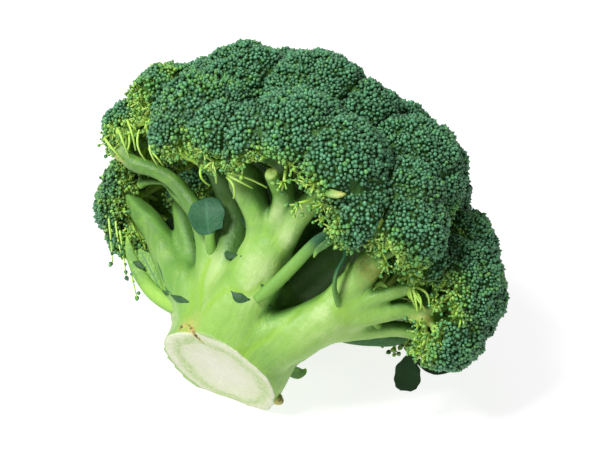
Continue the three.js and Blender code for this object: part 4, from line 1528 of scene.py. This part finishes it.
class BROCCOLI_OT_cores(bpy.types.Operator):
    """Grow the hollow flesh under the buds of every floret"""

    bl_idname = "broccoli.cores"
    bl_label = "Floret cores"

    def execute(self, context):
        sizes, look = context.scene.broccoli_sizes, context.scene.broccoli_look
        material = core_skin(look)
        head = crown()
        for f, name in enumerate(FLORETS):
            own = np.flatnonzero(head.floret == f)
            reach = head.radius[own].max() + 4
            low = head.centre[own].min(0) - reach
            high = head.centre[own].max(0) + reach
            field = Field(low, high, sizes.core_pitch / MM)
            field.join_balls(head.cluster_centre, head.cluster_radius, CREASE_SOFTNESS)
            field.join_balls(head.centre, head.radius - CORE_DEPTH, CREASE_SOFTNESS)
            points = field.points().reshape(-1, 3)
            values = field.values.reshape(-1) + CORE_INSET
            depth = head.depths(points)
            others = np.delete(depth, own, 1).min(1)
            values = np.maximum(values, (depth[:, own].min(1) - others) / PLANE_SLOPE)
            nearest = own[depth[:, own].argmin(1)]
            shallow = np.abs(values) < NEAR_SKIN
            fresh = np.zeros(len(points))
            fresh[shallow] = head.freshness(points[shallow], nearest[shallow])
            values = values + LOOSE_CORE_INSET * looseness(fresh)
            over_rim = np.full(len(points), FAR)
            hollow = np.full(len(points), FAR)
            for i in own:
                offset = points - head.centre[i]
                up = offset @ head.axis[i]
                shell = np.linalg.norm(offset, axis=1) - head.radius[i] - 1
                rim = head.rim[i] + CORE_OVER_RIM
                over_rim = np.minimum(over_rim, np.maximum(shell, rim * head.radius[i] - up))
                middle = head.centre[i] + HOLLOW_CENTRE * head.radius[i] * head.axis[i]
                ball = np.linalg.norm(points - middle, axis=1) - HOLLOW_RADIUS * head.radius[i]
                hollow = np.minimum(hollow, ball)
            values = np.maximum(values, over_rim)
            values = np.maximum(values, -hollow)
            values = np.maximum(values, 0.3 - height_over_floor(points))
            opened = -clear_of_paths(points[shallow], OPENINGS)
            values[shallow] = np.maximum(values[shallow], opened)
            field.values = values.reshape(field.shape).astype(np.float32)
            places, faces = field.surface()
            near = np.linalg.norm(places[:, None] - head.centre[own][None], axis=-1)
            lobe = own[(near - head.radius[own]).argmin(1)]
            under = np.clip(-((near - head.radius[own]).min(1) + 2.2) / 3.0, 0, 1)
            fresh = head.freshness(places, lobe)
            values = {"plant": places, "under": under, "fresh": fresh}
            settle(make_mesh(name + "_core", places, faces, values), material, "stem")
        return {"FINISHED"}


def joined(parts):
    """Parts of points, faces and point values as one set."""
    offset, points, faces = 0, [], []
    for part in parts:
        points.append(part[0])
        faces.append(part[1] + offset)
        offset += len(part[0])
    rest = [np.concatenate(column) for column in list(zip(*parts))[2:]]
    return [np.vstack(points), np.vstack(faces), *rest]


class BROCCOLI_OT_branchlets(bpy.types.Operator):
    """Grow the branchlets from each stem to the clusters, and the fine bud stalks at the rims"""

    bl_idname = "broccoli.branchlets"
    bl_label = "Branchlets"

    def execute(self, context):
        material = branch_skin(context.scene.broccoli_look)
        head = crown()
        for f, name in enumerate(FLORETS):
            chance = np.random.default_rng(200 + f)
            parts = []
            for lobe in np.flatnonzero(head.floret == f):
                parts += self.lobe_branchlets(head, lobe, chance)
            points, faces, along, tone = joined(parts)
            piece = make_mesh(name + "_branchlets", points, faces, {"along": along, "tone": tone})
            settle(piece, material, "stem")
        return {"FINISHED"}

    @staticmethod
    def grown(paths, sides, ages, chance):
        """Tubes along paths, with how far along each point is between two ages, and a tone."""
        points, faces, along, which = tubes(paths, sides)
        along = ages[0] + (ages[1] - ages[0]) * along
        return points, faces, along, chance.uniform(0, 1, len(paths))[which]

    def lobe_branchlets(self, head, lobe, chance):
        axis, radius = head.axis[lobe], head.radius[lobe]
        clusters = np.flatnonzero(head.cluster_lobe == lobe)
        fringe = np.flatnonzero(head.knot_lobe == lobe)
        parts = []
        if not head.shown[lobe]:
            limbs = np.array([limb for limb, on in zip(head.limbs, head.limb_lobe) if on == lobe])
            parts.append(self.grown(limbs, 8, (0, 0.3), chance))
        forks = np.array([limb[-1, :3] for limb in head.limbs])
        start = np.vstack([forks[head.cluster_limb[clusters]], forks[head.knot_limb[fringe]]])
        target = np.vstack([head.cluster_centre[clusters] - 1.5 * axis, head.knot[fringe]])
        thick = np.append(np.full(len(clusters), 1.2), np.full(len(fringe), 0.75))[:, None, None]
        bend = 0.5 * (start + target) + 0.1 * radius * axis + chance.normal(0, 0.6, target.shape)
        twigs = bent(start, bend, target, thick, 0.6 * thick, 5)
        parts.append(self.grown(twigs, 6, (0.1, 0.6), chance))
        open_umbels = np.flatnonzero(head.umbel_open & (head.umbel_lobe == lobe))
        if len(open_umbels):
            feet = head.umbel[open_umbels]
            start = head.cluster_centre[head.umbel_cluster[open_umbels]]
            start = start + chance.normal(0, 0.8, feet.shape)
            bend = 0.5 * (start + feet) - 0.5 * axis + chance.normal(0, 0.5, feet.shape)
            parts.append(self.grown(bent(start, bend, feet, 0.62, 0.45, 4), 5, (0.2, 0.7), chance))
            number = np.full(len(head.umbel), -1)
            number[open_umbels] = np.arange(len(open_umbels))
            buds = np.flatnonzero(number[head.bud_umbel] >= 0)
            start = feet[number[head.bud_umbel[buds]]]
            ends = head.bud[buds] - head.bud_out[buds] * 0.5
            bend = 0.5 * (start + ends) + chance.normal(0, 0.3, ends.shape)
            parts.append(self.grown(bent(start, bend, ends, 0.36, 0.30, 3), 3, (0.5, 1.0), chance))
        if len(fringe):
            ends = head.pedicel_end[fringe] - 0.4 * head.pedicel_way[fringe]
            start = np.repeat(head.knot[fringe][:, None], PEDICELS, 1)
            bend = 0.5 * (start + ends) + 0.35 * head.knot_out[fringe][:, None]
            bend = bend + chance.normal(0, 0.4, bend.shape)
            flat = [block.reshape(-1, 3) for block in (start, bend, ends)]
            parts.append(self.grown(bent(*flat, 0.46, 0.32, 3), 3, (0.4, 1.0), chance))
        return parts


class BROCCOLI_OT_strands(bpy.types.Operator):
    """Curl the bare branchlets out of the fringes"""

    bl_idname = "broccoli.strands"
    bl_label = "Bare branchlets"

    def execute(self, context):
        chance = np.random.default_rng(600)
        start, bend, end = np.moveaxis(np.array(STRANDS, float), 1, 0)
        bend = bend + 0.3 * (bend - 0.5 * (start + end)) + chance.normal(0, 0.8, bend.shape)
        points, faces, along, which = tubes(bent(start, bend, end, 0.48, 0.30, 9), 6)
        values = {"along": 0.9 * along, "tone": chance.uniform(0, 0.8, len(start))[which]}
        piece = make_mesh("bare_branchlets", points, faces, values)
        settle(piece, branch_skin(context.scene.broccoli_look), "stem")
        return {"FINISHED"}


class BROCCOLI_OT_pendants(bpy.types.Operator):
    """Hang the loose threads of buds out of the left floret"""

    bl_idname = "broccoli.pendants"
    bl_label = "Hanging bud threads"

    UPWARD = 7.0  # how far each thread goes on up into its floret
    BUD_PLACES = (1.0, 0.86, 0.70, 0.5)  # along a thread, from its top to its lowest bud
    BUD_HALVES = (0.95, 0.8, 0.6, 0.55)

    def execute(self, context):
        look = context.scene.broccoli_look
        chance = np.random.default_rng(500)
        low = np.array([end for _, end in PENDANTS], float)
        high = np.array([start for start, _ in PENDANTS], float)
        high = high + unit(high - low) * self.UPWARD
        bend = 0.5 * (low + high) + chance.normal(0, 0.8, low.shape)
        points, faces, along, which = tubes(bent(high, bend, low, 0.38, 0.24, 8), 6)
        values = {"along": 0.6 * along, "tone": chance.uniform(0, 1, len(low))[which]}
        threads = make_mesh("bud_threads", points, faces, values)
        settle(threads, branch_skin(look), "stem")
        share = np.array(self.BUD_PLACES)[:, None, None]
        places = low * share + high * (1 - share)
        places = (places + chance.normal(0, 0.45, places.shape)).reshape(-1, 3)
        outs = np.tile(unit(low - high), (len(share), 1))
        half = np.repeat(self.BUD_HALVES, len(low))
        points, faces, tip, plans = scatter_buds(places, outs, half, chance)
        tone = chance.uniform(0, 0.6, len(places))
        fresh = chance.uniform(0.2, 0.7, len(places))
        values = bud_values(points, tip, tone, fresh, np.full(len(places), LOOSE_EDGE))
        settle(make_mesh("thread_buds", points, faces, values, plans), bud_skin(look), "buds")
        return {"FINISHED"}


LEAF_SIDES = 16
LEAF_STEPS = 5
LEAF_RAGGED = 0.07  # of its edge, over its half width
LEAF_WAVE = 0.16
RIB_DEPTH = 0.34  # of the midrib under the blade
RIB_HALF = 0.55


def ribbon(rows, facing, fold, wave, chance):
    """A closed leaf along rows of x, y, z, half width and half thickness.

    Gives its points and faces, and how far along and across each point is.
    """
    path = smooth_path(rows, LEAF_STEPS)
    path[:, 3:] = np.maximum(path[:, 3:], 0.12)
    spine = path[:, :3]
    along = unit(np.gradient(spine, axis=0))
    facing = unit(np.asarray(facing, float))
    side = unit(np.cross(along, facing))
    top = np.cross(side, along)
    turn = math.tau * np.arange(LEAF_SIDES) / LEAF_SIDES
    across, over = np.cos(turn), np.sin(turn)
    wide, thick = path[:, 3:4], path[:, 4:5]
    blade = np.clip(wide / thick - 1.6, 0, 3) / 3
    length = np.arange(len(path))[:, None] / len(path)
    notches = np.sin(length * 31 + 3 * np.sign(across) + chance.uniform(0, 6))
    ragged = 1 + blade * LEAF_RAGGED * wave * notches
    lift = blade * wide * fold * np.abs(across) ** 1.5
    lift += blade * wave * LEAF_WAVE * wide * across**2 * np.sin(length * 17 + 2.2 * np.sign(across))
    lift += over * thick * (1 - 0.4 * blade * across**2)
    lift -= blade * RIB_DEPTH * np.exp(-((across * wide / RIB_HALF) ** 2)) * (over < 0)
    points = (
        spine[:, None]
        + side[:, None] * (across * wide * ragged)[..., None]
        + top[:, None] * lift[..., None]
    )
    count = len(path)
    points = np.vstack([points.reshape(-1, 3), spine[:1], spine[-1:]])
    faces = tube_faces(count, LEAF_SIDES)[:, ::-1]
    corners = points[faces]
    if np.einsum("ij,ij->", corners[:, 0], np.cross(corners[:, 1], corners[:, 2])) < 0:
        faces = faces[:, ::-1]
    spread = np.append(np.tile(across, count), [0, 0])
    place = np.append(np.repeat(np.arange(count) / (count - 1), LEAF_SIDES), [0, 1])
    flat = np.append(np.repeat(blade[:, 0], LEAF_SIDES), [0, 0])
    return points, faces, place, spread, flat


class BROCCOLI_OT_leaves(bpy.types.Operator):
    """Grow the small leaves among the stems"""

    bl_idname = "broccoli.leaves"
    bl_label = "Leaves"

    def execute(self, context):
        look = context.scene.broccoli_look
        # the shaded copy has almost no specular and goes on the leaves given painted shade
        lit, shaded = leaf_skin(look), leaf_skin(look, 0.05)
        for k, (name, (rows, facing, fold, wave, blue)) in enumerate(LEAVES.items()):
            chance = np.random.default_rng(300 + k)
            points, faces, place, spread, flat = ribbon(rows, facing, fold, wave, chance)
            low = np.maximum(0.15 - height_over_floor(points), 0)
            points = points + low[:, None] * FLOOR_UP
            values = {
                "plant": points,
                "place": place,
                "spread": spread,
                "blade": flat,
                "blue": np.full(len(points), blue),
                "brown": np.full(len(points), 1.0 if name == "leaf_stub" else 0.0),
            }
            piece = make_mesh(name + "_skin", points, faces, values)
            nodes = [name] if name.startswith("leaf") else []
            settle(piece, shaded if blue > 1 else lit, "leaf", *nodes)
        return {"FINISHED"}


class BROCCOLI_OT_flakes(bpy.types.Operator):
    """Lay the leaf scars and torn flakes on the stems"""

    bl_idname = "broccoli.flakes"
    bl_label = "Leaf scars and flakes"

    def execute(self, context):
        look = context.scene.broccoli_look
        parts = []
        for k, ((brown, lime), half, points) in enumerate(FLAKES):
            chance = np.random.default_rng(400 + k)
            pressed = press(np.array(points, float)) - 0.1 * SHOW_WAY
            widths = [0.25 * half, half, 0.25 * half]
            rows = [[*p, w, 0.35 * w + 0.1] for p, w in zip(pressed, widths)]
            mesh = ribbon(rows, SHOW_WAY, 0.0, 0.4, chance)
            tint = np.full(len(mesh[0]), 1.5)
            parts.append([*mesh, tint * (1 - lime), tint * brown])
        points, faces, place, spread, flat, blue, brown = joined(parts)
        values = {
            "plant": points,
            "place": place,
            "spread": spread,
            "blade": 0 * flat + 0.25,
            "blue": blue,
            "brown": brown,
        }
        settle(make_mesh("leaf_scars", points, faces, values), leaf_skin(look), "leaf")
        return {"FINISHED"}


class BROCCOLI_OT_stage(bpy.types.Operator):
    """Set the pale table, the soft lights and the camera"""

    bl_idname = "broccoli.stage"
    bl_label = "Table, lights and camera"

    AIM = (6.2, -8.2, 56.4)  # the plant point at the middle of the picture
    AZIMUTH = math.radians(32)
    ELEVATION = math.radians(28)
    LENS = 106.8
    SENSOR = 36.0
    TABLE_HALF = 3.0
    TABLE_GLOW = 0.82
    SKY = 0.29
    LAMPS = {  # where each stands, how wide it is and its power
        "key_light": ((-0.22, -0.66, 1.0), 0.4, 18.0),
        "fill_light": ((0.9, -0.9, 0.7), 0.9, 0.8),
    }

    def execute(self, context):
        scene = context.scene
        look, sizes = scene.broccoli_look, scene.broccoli_sizes
        paint = Paint("table_top", roughness=0.8, specular=0.2)
        paint.shader.inputs["Emission Color"].default_value = (1.0, 1.0, 1.0, 1.0)
        paint.shader.inputs["Emission Strength"].default_value = self.TABLE_GLOW
        half = self.TABLE_HALF
        mesh = bpy.data.meshes.new("table_top")
        corners = [(-half, -half, 0), (half, -half, 0), (half, half, 0), (-half, half, 0)]
        mesh.from_pydata(corners, [], [(0, 1, 2, 3)])
        table = bpy.data.objects.new("table_top", mesh)
        scene.collection.objects.link(table)
        table.data.materials.append(paint.finish((*look.floor, 1.0)))
        world = bpy.data.worlds.new("studio")
        scene.world = world
        world.use_nodes = True
        background = world.node_tree.nodes["Background"]
        background.inputs[0].default_value = (1.0, 1.0, 1.0, 1.0)
        background.inputs[1].default_value = self.SKY
        for name, (place, size, power) in self.LAMPS.items():
            self.lamp(scene, name, place, size, power)
        aim = Vector(to_row(np.array(self.AIM)))
        back = Vector(
            (
                math.sin(self.AZIMUTH) * math.cos(self.ELEVATION),
                -math.cos(self.AZIMUTH) * math.cos(self.ELEVATION),
                math.sin(self.ELEVATION),
            )
        )
        data = bpy.data.cameras.new("camera")
        data.lens = self.LENS
        data.sensor_width = self.SENSOR
        camera = bpy.data.objects.new("camera", data)
        scene.collection.objects.link(camera)
        camera.location = aim + back * sizes.camera_distance
        camera.rotation_euler = back.to_track_quat("Z", "Y").to_euler()
        scene.camera = camera
        scene.view_settings.view_transform = "Standard"
        return {"FINISHED"}

    @staticmethod
    def lamp(scene, name, place, size, power):
        data = bpy.data.lights.new(name, "AREA")
        data.size = size
        data.energy = power
        lamp = bpy.data.objects.new(name, data)
        scene.collection.objects.link(lamp)
        lamp.location = place
        lamp.rotation_euler = Vector(place).to_track_quat("Z", "Y").to_euler()


class BROCCOLI_PT_panel(bpy.types.Panel):
    """Lists the pieces of the head"""

    bl_label = "Broccoli"
    bl_idname = "BROCCOLI_PT_panel"
    bl_space_type = "VIEW_3D"
    bl_region_type = "UI"
    bl_category = "Broccoli"

    def draw(self, context):
        for operator in OPERATORS:
            self.layout.operator(operator.bl_idname)


OPERATORS = (
    BROCCOLI_OT_stalk,
    BROCCOLI_OT_buds,
    BROCCOLI_OT_cores,
    BROCCOLI_OT_branchlets,
    BROCCOLI_OT_strands,
    BROCCOLI_OT_pendants,
    BROCCOLI_OT_leaves,
    BROCCOLI_OT_flakes,
    BROCCOLI_OT_stage,
)
CLASSES = (BroccoliLook, BroccoliSizes, *OPERATORS, BROCCOLI_PT_panel)


def register():
    for cls in CLASSES:
        bpy.utils.register_class(cls)
    bpy.types.Scene.broccoli_look = bpy.props.PointerProperty(type=BroccoliLook)
    bpy.types.Scene.broccoli_sizes = bpy.props.PointerProperty(type=BroccoliSizes)


def unregister():
    del bpy.types.Scene.broccoli_sizes
    del bpy.types.Scene.broccoli_look
    for cls in reversed(CLASSES):
        bpy.utils.unregister_class(cls)


def main():
    """Builds the head, the table, the lights and the camera."""
    register()
    for operator in OPERATORS:
        name = operator.bl_idname.split(".")[1]
        getattr(bpy.ops.broccoli, name)()


if __name__ == "__main__":
    main()
